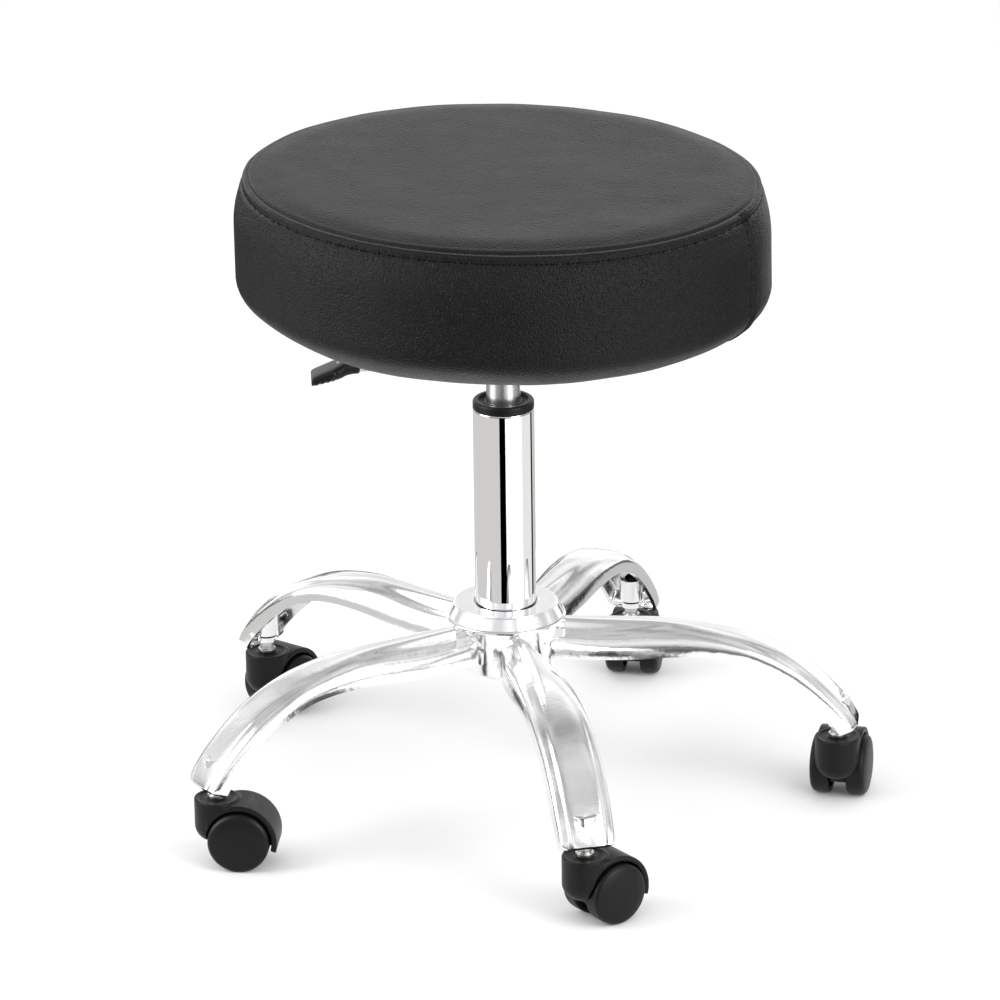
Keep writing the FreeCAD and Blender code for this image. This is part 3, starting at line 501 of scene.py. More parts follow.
    def build_veneers(self) -> bpy.types.NodeTree:
        """Plywood: thin veneers seen on the edge, long grain on the faces."""
        tree = self.start(
            "plywood_veneers",
            [
                ("Vector", "NodeSocketVector", None), ("Ply", "NodeSocketFloat", 0.0015),
                ("Colour", "NodeSocketColor", None),
            ],
            [("Colour", "NodeSocketColor"), ("Height", "NodeSocketFloat")],
        )
        source = tree.tree.nodes["in"]
        split = tree.node("ShaderNodeSeparateXYZ")
        tree.join(source.outputs["Vector"], split.inputs[0])
        two_plies = tree.math("MULTIPLY", source.outputs["Ply"], 2.0)
        layer = tree.math("FRACT", tree.math("DIVIDE", split.outputs[2], two_plies))
        dark = tree.math("GREATER_THAN", layer, 0.5)
        stretch = tree.node("ShaderNodeMapping")
        stretch.inputs["Scale"].default_value = (25.0, 400.0, 400.0)
        tree.join(source.outputs["Vector"], stretch.inputs["Vector"])
        grain = tree.node("ShaderNodeTexNoise", Scale=1.0, Detail=5.0)
        tree.join(stretch.outputs[0], grain.inputs["Vector"])
        ply, streak = tree.math("MULTIPLY", dark, 0.25), tree.math("MULTIPLY", grain.outputs[0], 0.35)
        amount = tree.math("SUBTRACT", 1.15, tree.math("ADD", ply, streak))
        change = tree.node("ShaderNodeVectorMath", operation="SCALE")
        tree.join(source.outputs["Colour"], change.inputs[0])
        tree.join(amount, change.inputs["Scale"])
        tree.join(change.outputs[0], tree.tree.nodes["out"].inputs["Colour"])
        tree.join(grain.outputs[0], tree.tree.nodes["out"].inputs["Height"])
        return tree.tree


GROUPS = SurfaceGroups()


class Grain(Enum):
    """The small relief of a finish, by the node group that makes it."""

    NONE = ""
    PEBBLES = "pebbles"
    FINE = "fine_grain"
    TURNED = "turned_lines"
    VENEERS = "veneers"


@dataclass(frozen=True)
class Finish:
    """One surface finish and the material that shows it.

    Sizes are in metres. Amounts of 0 leave an effect out, and its value stays on the shader's own socket.
    """

    name: str
    colour: Colour
    roughness: float
    metallic: float = 0.0
    ior: float = 1.5
    grain: Grain = Grain.NONE
    grain_size: float = 0.001
    grain_depth: float = 0.0001
    tone: float = 0.0
    tone_size: float = 0.05
    smudge: float = 0.0
    smudge_size: float = 0.05
    dust: float = 0.0
    sheen: float = 0.0

    def material(self) -> bpy.types.Material:
        """The finish's material, built when it is first asked for."""
        found = bpy.data.materials.get(self.name)
        return found if found else self.build()

    def build(self) -> bpy.types.Material:
        """Builds the material: one shader, with its relief, tone, dust and smudges on top."""
        made = bpy.data.materials.new(self.name)
        made.use_nodes = True
        made.diffuse_color = (*self.colour, 1.0)
        tree = Tree(made.node_tree)
        shader = made.node_tree.nodes["Principled BSDF"]
        values = {
            "Base Color": (*self.colour, 1.0), "Roughness": self.roughness, "Metallic": self.metallic, "IOR": self.ior,
            "Sheen Weight": self.sheen, "Sheen Roughness": 0.4,
        }
        for key, value in values.items():
            shader.inputs[key].default_value = value
        where = tree.node("ShaderNodeTexCoord").outputs["Object"]
        self.add_relief(tree, shader, where)
        self.add_colour(tree, shader, where)
        if self.smudge > 0:
            smudges = self.place(
                tree, "smudges", where, Size=self.smudge_size, Roughness=self.roughness, Amount=self.smudge
            )
            tree.join(smudges.outputs["Roughness"], shader.inputs["Roughness"])
        return made

    @staticmethod
    def place(tree: Tree, name: str, where: bpy.types.NodeSocket, **values: object) -> bpy.types.Node:
        """Puts a shared group in the material with its own values."""
        made = tree.node("ShaderNodeGroup")
        made.node_tree = GROUPS.group(name)
        tree.join(where, made.inputs["Vector"])
        for key, value in values.items():
            made.inputs[key].default_value = value
        return made

    def add_relief(self, tree: Tree, shader: bpy.types.Node, where: bpy.types.NodeSocket) -> None:
        """Joins the grain to the shader's Normal through a Bump node."""
        if self.grain in (Grain.NONE, Grain.VENEERS):
            return
        relief = self.place(tree, self.grain.value, where, Size=self.grain_size)
        bump = tree.node("ShaderNodeBump", Strength=1.0, Distance=self.grain_depth)
        tree.join(relief.outputs["Height"], bump.inputs["Height"])
        tree.join(bump.outputs["Normal"], shader.inputs["Normal"])

    def add_colour(self, tree: Tree, shader: bpy.types.Node, where: bpy.types.NodeSocket) -> None:
        """Joins veneers, tone and dust to the shader's Base Color, in that order."""
        colour = (*self.colour, 1.0)
        last = None
        if self.grain is Grain.VENEERS:
            plies = self.place(tree, "veneers", where, Ply=self.grain_size, Colour=colour)
            bump = tree.node("ShaderNodeBump", Strength=1.0, Distance=self.grain_depth)
            tree.join(plies.outputs["Height"], bump.inputs["Height"])
            tree.join(bump.outputs["Normal"], shader.inputs["Normal"])
            last = plies.outputs["Colour"]
        if self.tone > 0:
            drift = self.place(tree, "tone", where, Size=self.tone_size, Colour=colour, Amount=self.tone)
            if last:
                tree.join(last, drift.inputs["Colour"])
            last = drift.outputs["Colour"]
        if self.dust > 0:
            dusty = self.place(tree, "dust", where, Colour=colour, Amount=self.dust)
            if last:
                tree.join(last, dusty.inputs["Colour"])
            last = dusty.outputs["Colour"]
        if last:
            tree.join(last, shader.inputs["Base Color"])


VINYL = Finish(
    "vinyl_black", (0.0028, 0.0028, 0.0031), 0.36, ior=1.26, grain=Grain.PEBBLES, grain_size=0.0015,
    grain_depth=0.0009, tone=0.25, tone_size=0.03, smudge=0.10, smudge_size=0.025,
)
THREAD = Finish("thread_black", (0.0012, 0.0012, 0.0012), 0.7, ior=1.12, grain=Grain.FINE, grain_size=0.0003)
CHROME = Finish("chrome_plate", (0.93, 0.93, 0.94), 0.025, metallic=1.0, smudge=0.03, smudge_size=0.03)
SATIN_CHROME = Finish(
    "chrome_ground", (0.80, 0.80, 0.82), 0.28, metallic=1.0, grain=Grain.TURNED, grain_size=0.0004,
    grain_depth=0.00001, smudge=0.08,
)
ALUMINIUM = Finish(
    "aluminium_polished", (0.88, 0.88, 0.89), 0.14, metallic=1.0, grain=Grain.FINE, grain_size=0.018,
    grain_depth=0.0004, smudge=0.05, smudge_size=0.04,
)
PLASTIC = Finish(
    "plastic_black", (0.004, 0.004, 0.0045), 0.36, ior=1.32, grain=Grain.FINE, grain_size=0.0005, grain_depth=0.00003,
    tone=0.15, smudge=0.08,
)
NYLON = Finish(
    "nylon_black", (0.0035, 0.0035, 0.004), 0.40, ior=1.29, grain=Grain.FINE, grain_size=0.0006, grain_depth=0.00004,
    tone=0.25, tone_size=0.02, smudge=0.12, smudge_size=0.015, dust=0.01,
)
POWDER_COAT = Finish(
    "powder_coat_black", (0.018, 0.018, 0.018), 0.45, grain=Grain.FINE, grain_size=0.0014, grain_depth=0.00006,
    tone=0.15, smudge=0.1,
)
ZINC = Finish(
    "zinc_plated", (0.60, 0.60, 0.58), 0.28, metallic=1.0, grain=Grain.FINE, grain_size=0.0008, grain_depth=0.00002,
    tone=0.12, tone_size=0.01, smudge=0.12, smudge_size=0.01,
)
BEARING_STEEL = Finish(
    "steel_ground", (0.52, 0.52, 0.53), 0.20, metallic=1.0, grain=Grain.TURNED, grain_size=0.0003,
    grain_depth=0.00001, smudge=0.1, smudge_size=0.01,
)
RUBBER = Finish("rubber_black", (0.015, 0.015, 0.015), 0.75, grain=Grain.FINE, grain_size=0.0005, tone=0.2, smudge=0.1)
PLYWOOD = Finish(
    "plywood_birch", (0.55, 0.40, 0.25), 0.65, grain=Grain.VENEERS, grain_size=0.0015, grain_depth=0.0001,
    tone=0.15, smudge=0.1,
)
DUST_CLOTH = Finish(
    "cloth_black", (0.014, 0.014, 0.014), 0.9, grain=Grain.FINE, grain_size=0.0012, grain_depth=0.0003, tone=0.4,
    tone_size=0.002, sheen=0.15,
)


# ---------------------------------------------------------------- seat
@dataclass
class Cushion:
    """The padded round seat: a boxed cushion with a top seam, a top-stitched edge and one upright join."""

    steps: int = 480
    seam_inset: float = 11.0
    seam_drop: float = 4.0
    side_drop: float = 44.0
    under_inset: float = 58.0
    flat_inset: float = 39.0
    bottom_round: float = 20.0
    bottom_angle: float = 45.0
    cloth_turn: float = 1.4
    lean_deg: float = 1.7
    lean_towards_deg: float = 5.4
    drift: float = 1.4
    stitch_gap: float = 8.2
    stitch_pitch: float = 4.3
    join_deg: float = -18.6
    join_stitch_gap: float = 5.2
    join_depth: float = 2.8
    join_stitches: int = 24
    stitch_half: Corner = (1.65, 0.75, 0.36)
    stitch_lift: float = 0.12

    def __post_init__(self) -> None:
        """Reads the cushion's size from its CAD cover."""
        low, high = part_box("seat_cover")
        self.radius = high.x / MM
        self.under_z = low.z / MM
        self.top_z = high.z / MM
        self.seam_radius = self.radius - self.seam_inset
        self.seam_z = self.top_z - self.seam_drop
        self.side_z = self.top_z - self.side_drop
        self.under_radius = self.radius - self.under_inset

    def fine_outline(self) -> tuple[list[Point], int]:
        """The outline from the middle of the top, over the seam, down and in to the middle of the underside.

        Returns:
            The dense points, and the index of the seam.
        """
        points: list[Point] = [(0.0, self.top_z), (self.radius - self.flat_inset, self.top_z)]
        crown = self.seam_radius - points[-1][0]
        bow = (self.seam_drop**2 + crown**2) / (2 * self.seam_drop)
        for step in range(1, 25):
            turn = math.asin(crown / bow) * step / 24
            points.append((points[1][0] + bow * math.sin(turn), self.top_z - bow * (1 - math.cos(turn))))
        seam = len(points) - 1
        rise = self.seam_z - self.side_z
        lean = (rise**2 + self.seam_inset**2) / (2 * self.seam_inset)
        for step in range(1, 31):
            turn = math.asin(rise / lean) * (1 - step / 30)
            points.append((self.radius - lean * (1 - math.cos(turn)), self.side_z + lean * math.sin(turn)))
        angle = math.radians(self.bottom_angle)
        tight = self.bottom_round
        wide = (self.radius - tight + tight * math.sin(angle) - self.under_radius) / math.sin(angle)
        low_z = self.under_z + wide * (1 - math.cos(angle)) + tight * math.cos(angle)
        for step in range(0, 17):
            turn = math.pi / 2 - (math.pi / 2 - angle) * step / 16
            points.append((self.radius - tight + tight * math.sin(turn), low_z - tight * math.cos(turn)))
        for step in range(1, 25):
            turn = angle * (1 - step / 24)
            points.append((self.under_radius + wide * math.sin(turn), self.under_z + wide * (1 - math.cos(turn))))
        points.append((self.under_radius, self.under_z + self.cloth_turn))
        points.append((0.0, self.under_z + self.cloth_turn))
        return points, seam

    def spaced_outline(self) -> list[tuple[float, float, float]]:
        """The outline spaced finely by the seam and widely elsewhere.

        Returns:
            (radius, height, distance below the seam) of each point; above the seam the distance is negative.
        """
        points, seam = self.fine_outline()
        runs = [0.0]
        for a, b in zip(points, points[1:]):
            runs.append(runs[-1] + math.dist(a, b))
        zero = runs[seam]
        wanted: list[float] = []
        spot = 0.0
        while spot < runs[-1]:
            wanted.append(spot)
            near = abs(spot - zero - self.stitch_gap / 2)
            spot += 0.42 if near < 8.0 else 1.2 if near < 16.0 else 3.4 if near < 110.0 else 9.0
        wanted.append(runs[-1])
        wanted.extend(runs[-3:-1])
        spaced = []
        for run in sorted(set(wanted)):
            index = max(i for i, value in enumerate(runs[:-1]) if value <= run)
            share = (run - runs[index]) / max(runs[index + 1] - runs[index], 1e-9)
            a, b = points[index], points[index + 1]
            spaced.append((a[0] + (b[0] - a[0]) * share, a[1] + (b[1] - a[1]) * share, run - zero))
        return spaced

    def crowded(self, turn: float) -> float:
        """Moves an even angle round the seat so that points crowd together by the upright join."""
        near, squeeze = math.radians(24.0), 0.16
        size = abs(turn)
        if size < near:
            return math.copysign(size * squeeze, turn)
        beyond = (size - near) * (math.pi - near * squeeze) / (math.pi - near)
        return math.copysign(near * squeeze + beyond, turn)

    def leant(self, point: Vector) -> Vector:
        """The point after the seat has settled to one side; its flat underside stays level on the board."""
        r = math.hypot(point.x, point.y)
        weight = max(
            smoothstep(self.under_radius + 1.0, self.under_radius + 40.0, r),
            smoothstep(self.under_z + 10.0, self.under_z + 65.0, point.z),
        )
        side = math.radians(self.lean_towards_deg)
        towards = Vector((math.cos(side), math.sin(side), 0))
        reach = point.dot(towards)
        moved = point + towards * self.drift * weight
        moved.z -= reach * math.tan(math.radians(self.lean_deg)) * weight
        return moved

    def relief(self, below: float, across: float, turn: float) -> float:
        """How far the cover stands out from the smooth form, in millimetres.

        Args:
            below: distance below the top seam.
            across: distance round the seat from the upright join.
            turn: angle round the seat.

        Returns:
            Millimetres outwards.
        """
        pull = 1.0 + 0.35 * noise.noise(Vector((math.cos(turn) * 9, math.sin(turn) * 9, 0.0)))
        ripple = noise.noise(Vector((math.cos(turn) * 46, math.sin(turn) * 46, below * 0.04)))
        out = -2.8 * bell(below, 0.0, 1.15) * pull
        out += 0.5 * bell(below, -3.6, 2.4) + 1.5 * bell(below, self.stitch_gap / 2, 2.4)
        pitch = self.radius * math.tau / round(self.radius * math.tau / self.stitch_pitch)
        dimple = 0.75 + 0.45 * math.cos(math.tau * turn * self.radius / pitch)
        out -= 1.5 * bell(below, self.stitch_gap, 1.0) * dimple
        out += 0.5 * bell(below, self.stitch_gap + 4.0, 3.0)
        out += 0.22 * ripple * bell(below, self.stitch_gap + 2.0, 12.0) * smoothstep(-1.0, 3.0, below)
        if below > 0.0:
            fade = smoothstep(0.0, 4.0, below) * (1.0 - smoothstep(112.0, 150.0, below))
            out -= self.join_depth * bell(across, 0.0, 1.0) * fade
            out += 1.3 * (bell(across, 2.8, 1.7) + bell(across, -2.8, 1.7)) * fade
            rows = bell(across, self.join_stitch_gap, 0.9) + bell(across, -self.join_stitch_gap, 0.9)
            out -= 1.4 * rows * fade
        return out

    def swell(self, point: Vector) -> float:
        """Slow hollows and rises of the padding, in millimetres outwards."""
        slow = noise.noise(point * 0.011 + Vector((3.1, 7.7, 1.3)))
        mid = noise.noise(point * 0.03 + Vector((9.4, 2.2, 5.8)))
        return 0.9 * slow + 0.3 * mid

    def make_cover(self) -> bpy.types.Object:
        """The cover: a turned form, eased by the padding under it, with its seams sewn in."""
        bm = bmesh.new()
        below = bm.verts.layers.float.new("below_seam")
        verts = []
        for r, z, run in self.spaced_outline():
            vert = bm.verts.new((r, 0.0, z))
            vert[below] = run
            verts.append(vert)
        edges = [bm.edges.new(pair) for pair in zip(verts, verts[1:])]
        turn_round(bm, verts + edges, self.steps)
        join = math.radians(self.join_deg)
        bm.normal_update()
        moves = []
        for vert in bm.verts:
            r = math.hypot(vert.co.x, vert.co.y)
            turn = self.crowded(math.atan2(vert.co.y, vert.co.x))
            direction = Vector((vert.normal.x, vert.normal.y, 0)).length
            if r < 1e-4:
                moves.append((vert, vert.co.copy()))
                continue
            flat = Vector((math.cos(turn + join), math.sin(turn + join), 0))
            normal = flat * direction + Vector((0, 0, vert.normal.z))
            base = flat * r + Vector((0, 0, vert.co.z))
            live = smoothstep(self.under_radius + 2.0, self.under_radius + 20.0, r)
            live = max(live, smoothstep(self.under_z + 5.0, self.under_z + 30.0, vert.co.z))
            out = self.relief(vert[below], turn * r, turn) + self.swell(base)
            moves.append((vert, self.leant(base + normal * out * live)))
        for vert, place in moves:
            vert.co = place
        bmesh.ops.recalc_face_normals(bm, faces=bm.faces)
        return object_from("cushion_cover", bm, 80.0)

    def surface_spot(self, tree: BVHTree, turn: float, below: float) -> tuple[Vector, Vector]:
        """The point on the finished cover at an angle and a distance below the seam, with its normal."""
        r, z = next((r, z) for r, z, run in self.spaced_outline() if run >= below)
        flat = Vector((math.cos(turn), math.sin(turn), 0))
        aim = self.leant(flat * r + Vector((0, 0, z)))
        start = aim + flat * 12.0 + Vector((0, 0, 4.0))
        hit, normal, _, _ = tree.ray_cast(start * MM, (aim - start).normalized())
        if hit is None:
            hit, normal, _, _ = tree.find_nearest(aim * MM)
        return hit / MM, normal

    def make_stitches(self, cover: bpy.types.Object) -> bpy.types.Object:
        """The row round the top edge and the two rows beside the upright join."""
        bm = bmesh.new()
        tree = BVHTree.FromPolygons([v.co for v in cover.data.vertices], [p.vertices for p in cover.data.polygons])
        join = math.radians(self.join_deg)
        count = round(self.radius * math.tau / self.stitch_pitch)
        seed = bmesh.ops.create_uvsphere(bm, u_segments=6, v_segments=4, radius=1.0)["verts"]
        for vert in seed:
            vert.co *= Vector(self.stitch_half)
        template = bpy.data.meshes.new("one_stitch")
        bm.to_mesh(template)
        bm.clear()

        def sew(turn: float, below: float, upright: bool) -> None:
            """Puts one stitch on the cover."""
            spot, normal = self.surface_spot(tree, turn, below)
            flat = Vector((-math.sin(turn), math.cos(turn), 0))
            run = normal.cross(flat).normalized() if upright else (flat - normal * flat.dot(normal)).normalized()
            side = normal.cross(run)
            place = Matrix((run, side, normal)).transposed().to_4x4()
            place.translation = spot + normal * self.stitch_lift
            scratch = template.copy()
            scratch.transform(place)
            bm.from_mesh(scratch)
            bpy.data.meshes.remove(scratch)

        for index in range(count):
            sew(join + math.tau * (index + 0.5) / count, self.stitch_gap, False)
        for side in (-1, 1):
            turn = join + side * self.join_stitch_gap / self.radius
            for index in range(self.join_stitches):
                sew(turn, self.stitch_gap + 3.0 + index * self.stitch_pitch, True)
        bpy.data.meshes.remove(template)
        return object_from("cushion_stitches", bm, 80.0)

    def build(self) -> None:
        """Makes the cover and its stitches and hangs them on the seat."""
        cover = self.make_cover()
        settle(cover, VINYL, "seat", ("seat_cover", "seat_foam"), "upholstery")
        settle(self.make_stitches(cover), THREAD, "seat", (), "upholstery")


# ---------------------------------------------------------------- column
@dataclass
class Column:
    """The tapered chrome tube, its guide bush and the gas cylinder."""

    steps: int = 144
    tube_wall: float = 2.6
    taper: float = 1.0
    recess_radius: float = 20.5
    recess_depth: float = 2.6
    waist: float = 18.0
    cylinder_wall: float = 1.6
    cylinder_top: float = 13.0
    taper_length: float = 40.0

    def make_tube(self) -> bpy.types.Object:
        """The outer tube, tapered where it grips the hub."""
        low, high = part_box("column_tube")
        radius, z0, z1 = high.x / MM, low.z / MM, high.z / MM
        hub_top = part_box("star_base")[1].z / MM
        inner = radius - self.tube_wall
        outline = rounded(
            (
                (radius - self.taper, z0, 0.8), (radius, hub_top, 3.0), (radius, z1, 0.7), (inner, z1, 0.5),
                (inner, z0 + 3.0, 0.5), (7.0, z0 + 3.0, 0.3), (7.0, z0, 0.3),
            ),
            5, True,
        )
        return object_from("column_outer_tube", lathe(outline, self.steps, True))

    def make_bush(self) -> bpy.types.Object:
        """The black collar on the tube's top, with a rim, a recess and the bore for the gas cylinder."""
        low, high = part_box("guide_bush")
        radius, z0, z1 = high.x / MM, low.z / MM, high.z / MM
        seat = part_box("column_tube")[1].z / MM
        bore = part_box("gas_cylinder")[1].x / MM + 0.08
        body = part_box("column_tube")[1].x / MM - self.tube_wall - 0.05
        rim, floor = self.recess_radius, z1 - self.recess_depth
        outline = rounded(
            (
                (bore, z0, 0.3), (body, z0, 0.5), (body, z0 + 12.0, 0.4), (self.waist, z0 + 15.0, 0.5),
                (self.waist, seat - 14.0, 0.5), (body, seat - 11.0, 0.4), (body, seat, 0.1), (radius, seat, 0.5),
                (radius, z1 - 1.6, 1.0), (radius - 1.4, z1, 0.8),
                (rim, z1, 0.6), (rim - 0.5, floor, 0.7), (bore + 2.6, floor, 0.6), (bore + 1.6, floor + 1.1, 0.5),
                (bore, floor + 1.1, 0.4),
            ),
            4, True,
        )
        return object_from("column_guide_collar", lathe(outline, self.steps, True))

    def make_cylinder(self) -> bpy.types.Object:
        """The gas cylinder: a straight tube whose top tapers into the seat's socket."""
        low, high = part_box("gas_cylinder")
        radius, z0, z1 = high.x / MM, low.z / MM, high.z / MM
        inner = radius - self.cylinder_wall
        outline = rounded(
            (
                (radius, z0, 0.6), (radius, z1 - self.taper_length, 2.0), (self.cylinder_top, z1, 1.0), (2.4, z1, 0.3),
                (2.4, z1 - 6.0, 0.2), (inner, z1 - 6.0, 0.8), (inner, z0, 0.3),
            ),
            5, True,
        )
        return object_from("column_gas_cylinder", lathe(outline, self.steps, True))

    def build(self) -> None:
        """Makes the column's three visible parts."""
        settle(self.make_tube(), CHROME, "base", ("column_tube",), "chrome")
        settle(self.make_bush(), PLASTIC, "base", ("guide_bush",), "black_plastic")
        settle(self.make_cylinder(), SATIN_CHROME, "seat", ("gas_cylinder",), "chrome")


# ---------------------------------------------------------------- cast base
@dataclass
class StarBase:
    """The polished five-arm casting: hub, flange, hollow arms and the bosses that take the castor stems."""

    arms: int = 5
    root_reach: float = 27.0
    ridge_z: float = 156.5
    runs: tuple[Point, ...] = ((86.0, 0.0), (78.0, 14.0), (66.0, 25.0), (40.0, 11.0), (24.0, 16.0))
    stations: tuple[tuple[float, ...], ...] = (
        (0.00, 14.5, 30.0, 2.2), (0.09, 17.5, 29.4, 2.2), (0.17, 21.0, 28.7, 2.2), (0.30, 23.2, 26.3, 2.3),
        (0.43, 23.9, 20.9, 2.6), (0.53, 24.0, 16.8, 2.9), (0.63, 24.0, 15.2, 3.3), (0.75, 24.0, 16.0, 3.8),
        (0.86, 23.6, 16.5, 4.2), (1.00, 22.6, 14.5, 4.6),
    )
    wall: float = 3.6
    end_round: float = 5.5
    end_edge: float = 2.6
    root_fillet: float = 5.0
    hub_low: Point = (36.0, 114.0)
    hub_high: Point = (38.0, 154.2)
    hub_steps: int = 200
    boss_steps: int = 48
    crown_cells: int = 56
    length_cells: int = 110
    boss_radius: float = 8.6
    stem_radius: float = 5.6
    boss_low: float = 66.0
    boss_high: float = 92.0

    @property
    def length(self) -> float:
        """The arm's length along its ridge."""
        return sum(run for run, _ in self.runs)

    def ridge(self, distance: float) -> tuple[float, float, float]:
        """Reach, height and downward slope of the ridge at a distance along the arm."""
        reach, z, slope, left = self.root_reach, self.ridge_z, 0.0, distance
        for run, bend in self.runs:
            step = min(left, run)
            turn = math.radians(bend) * step / run
            if abs(turn) > 1e-9:
                radius = step / turn
                reach += radius * (math.sin(slope + turn) - math.sin(slope))
                z -= radius * (math.cos(slope) - math.cos(slope + turn))
            else:
                reach += step * math.cos(slope)
                z -= step * math.sin(slope)
            slope += turn
            left -= step
            if left <= 1e-9:
                break
        return reach, z, slope

    def eased(self, share: float, column: int) -> float:
        """A station value, smoothed over its neighbours so that reflections run without kinks."""
        spread = 0.045
        samples = [along(self.stations, min(1.0, max(0.0, share + spread * (k - 3) / 3)), column) for k in range(7)]
        return sum(samples) / len(samples)

    def crown(self, share: float, inset: float) -> list[Point]:
        """The arm's top from one edge to the other, as (across, drop below the ridge).

        Args:
            share: where along the arm, 0 to 1.
            inset: how far inside the outer skin; the furrows are on the outer skin alone.

        Returns:
            The points.
        """
        half, depth, square = (self.eased(share, column) for column in (1, 2, 3))
        to_end = self.length * (1.0 - share)
        if to_end < self.end_round:
            half -= self.end_round - math.sqrt(max(0.0, self.end_round**2 - (self.end_round - to_end) ** 2))
        edge = max(0.0, self.end_edge - to_end)
        depth_lost = self.end_edge - math.sqrt(self.end_edge**2 - edge**2)
        root = 1.0 - smoothstep(0.10, 0.46, share)
        tip = smoothstep(0.50, 0.72, share)
        points = []
        for index in range(self.crown_cells + 1):
            t = math.pi * index / self.crown_cells
            c, s = math.cos(t), math.sin(t)
            across = (half - inset) * math.copysign(abs(c) ** (2 / square), c)
            drop = depth - (depth - inset - depth_lost) * abs(s) ** (2 / square)
            q = abs(across) / max(half - inset, 1e-6)
            if inset == 0.0:
                valley = smoothstep(0.26, 0.50, q) * (1.0 - 0.75 * smoothstep(0.62, 0.98, q))
                drop += root * 5.2 * valley
                drop += tip * 1.5 * smoothstep(0.56, 0.72, q) * (1.0 - 0.55 * smoothstep(0.80, 0.97, q))
            points.append((across, drop))
        return points

    def flare(self, spot: Vector) -> float:
        """How far the fillet to the hub stands out at a point of the arm."""
        (low_radius, low_z), (high_radius, high_z) = self.hub_low, self.hub_high
        hub = low_radius + (high_radius - low_radius) * (spot.z - low_z) / (high_z - low_z)
        gap = min(self.root_fillet, max(0.0, math.hypot(spot.x, spot.y) - hub))
        return self.root_fillet - math.sqrt(self.root_fillet**2 - (self.root_fillet - gap) ** 2)

    def section(self, share: float) -> list[Vector]:
        """The closed section at a share of the arm's length, as points in the arm's frame along +X."""
        reach, z, slope = self.ridge(self.length * share)
        down = Vector((-math.sin(slope), 0, -math.cos(slope)))
        top = Vector((reach, 0, z))
        outer = self.crown(share, 0.0)
        depth = self.eased(share, 2)
        open_share = smoothstep(self.wall * 0.8, self.wall * 2.4, self.length * (1.0 - share))
        inner = [(across, depth + (drop - depth) * open_share) for across, drop in self.crown(share, self.wall)]
        skin_points = [self.filleted(outer, index, top, down) for index in range(len(outer))]
        lip = 1.1
        edge = [(outer[-1][0], depth + lip), (inner[-1][0], depth + lip)]
        back = [(inner[0][0], depth + lip), (outer[0][0], depth + lip)]
        under = [top + Vector((0, across, 0)) + down * drop for across, drop in edge + inner[::-1] + back]
        under[0] += skin_points[-1] - (top + Vector((0, outer[-1][0], 0)) + down * outer[-1][1])
        under[-1] += skin_points[0] - (top + Vector((0, outer[0][0], 0)) + down * outer[0][1])
        return skin_points + under + skin_points[:1]

    def filleted(self, outer: list[Point], index: int, top: Vector, down: Vector) -> Vector:
        """One point of the arm's top, swept round the hub where the fillet widens the arm."""
        across, drop = outer[index]
        spot = top + Vector((0, across, 0)) + down * drop
        amount = self.flare(spot)
        if amount <= 0.0:
            return spot
        a, b = outer[max(0, index - 2)], outer[min(len(outer) - 1, index + 2)]
        normal = Vector((b[1] - a[1], a[0] - b[0])).normalized()
        if normal.dot(Vector((across, drop - 20.0))) < 0:
            normal = -normal
        turned = Matrix.Rotation(amount * normal.x / math.hypot(spot.x, spot.y), 3, "Z") @ spot
        turned.z -= amount * normal.y
        return turned

    def make_arm(self) -> bmesh.types.BMesh:
        """One arm along +X: its hollow channel, and the boss under its end."""
        bm = bmesh.new()
        shares = [k / self.length_cells for k in range(self.length_cells + 1)]
        bent = [min(1.0, s + 0.35 * (1 - s) * s * (s - 0.35)) for s in shares]
        sections = [self.section(share) for share in bent]
        around = len(sections[0]) - 1

        def place(u: float, v: float) -> Vector:
            """The section point nearest to a grid vertex."""
            return sections[round(v * self.length_cells)][round(u * around)]

        skin(bm, around, self.length_cells, place)
        bmesh.ops.recalc_face_normals(bm, faces=bm.faces)
        return bm

    def make_boss(self) -> bmesh.types.BMesh:
        """The boss for one castor stem, on the Z axis."""
        r, low, high = self.boss_radius, self.boss_low, self.boss_high
        outline = rounded(
            (
                (self.stem_radius, low, 0.2), (r - 0.8, low, 0.5), (r - 0.4, low + 5.0, 0.8), (r + 0.9, low + 7.0, 0.8),
                (r + 1.6, high, 0.3), (self.stem_radius, high, 0.2),
            ),
            4, True,
        )
        return lathe(outline, self.boss_steps, True)

    def make_hub(self) -> bmesh.types.BMesh:
        """The hub: body, lip, bevelled flange and the mouth round the tube."""
        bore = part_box("column_tube")[1].x / MM + 0.06
        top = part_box("star_base")[1].z / MM
        outline = rounded(
            (
                (bore - 1.0, self.hub_low[1], 0.3), (*self.hub_low, 1.4), (*self.hub_high, 2.6),
                (46.6, 155.6, 0.5), (49.0, 156.6, 0.9),
                (49.0, 159.0, 0.9), (47.4, 159.9, 0.6), (42.6, 168.9, 0.7), (41.9, 169.1, 0.3), (41.5, top - 0.1, 0.4),
                (40.6, top, 0.3), (bore + 1.9, top, 0.8), (bore + 1.5, top - 4.0, 0.3), (bore, top - 4.2, 0.2),
            ),
            6, True,
        )
        return lathe(outline, self.hub_steps, True)

    def build(self) -> None:
        """Joins the hub, arms and bosses into one casting."""
        stem = Vector(joint("castor_0_swivel")["pos_m"]) / MM
        bm = self.make_hub()
        arm, boss = self.make_arm(), self.make_boss()
        for index in range(self.arms):
            turn = Matrix.Rotation(math.tau * index / self.arms, 4, "Z")
            append_mesh(bm, arm, turn)
            append_mesh(bm, boss, turn @ Matrix.Translation((stem.x, 0, 0)))
        arm.free()
        boss.free()
        obj = object_from("star_base_casting", bm, 50.0)
        settle(obj, ALUMINIUM, "base", ("star_base",), "polished_aluminium")


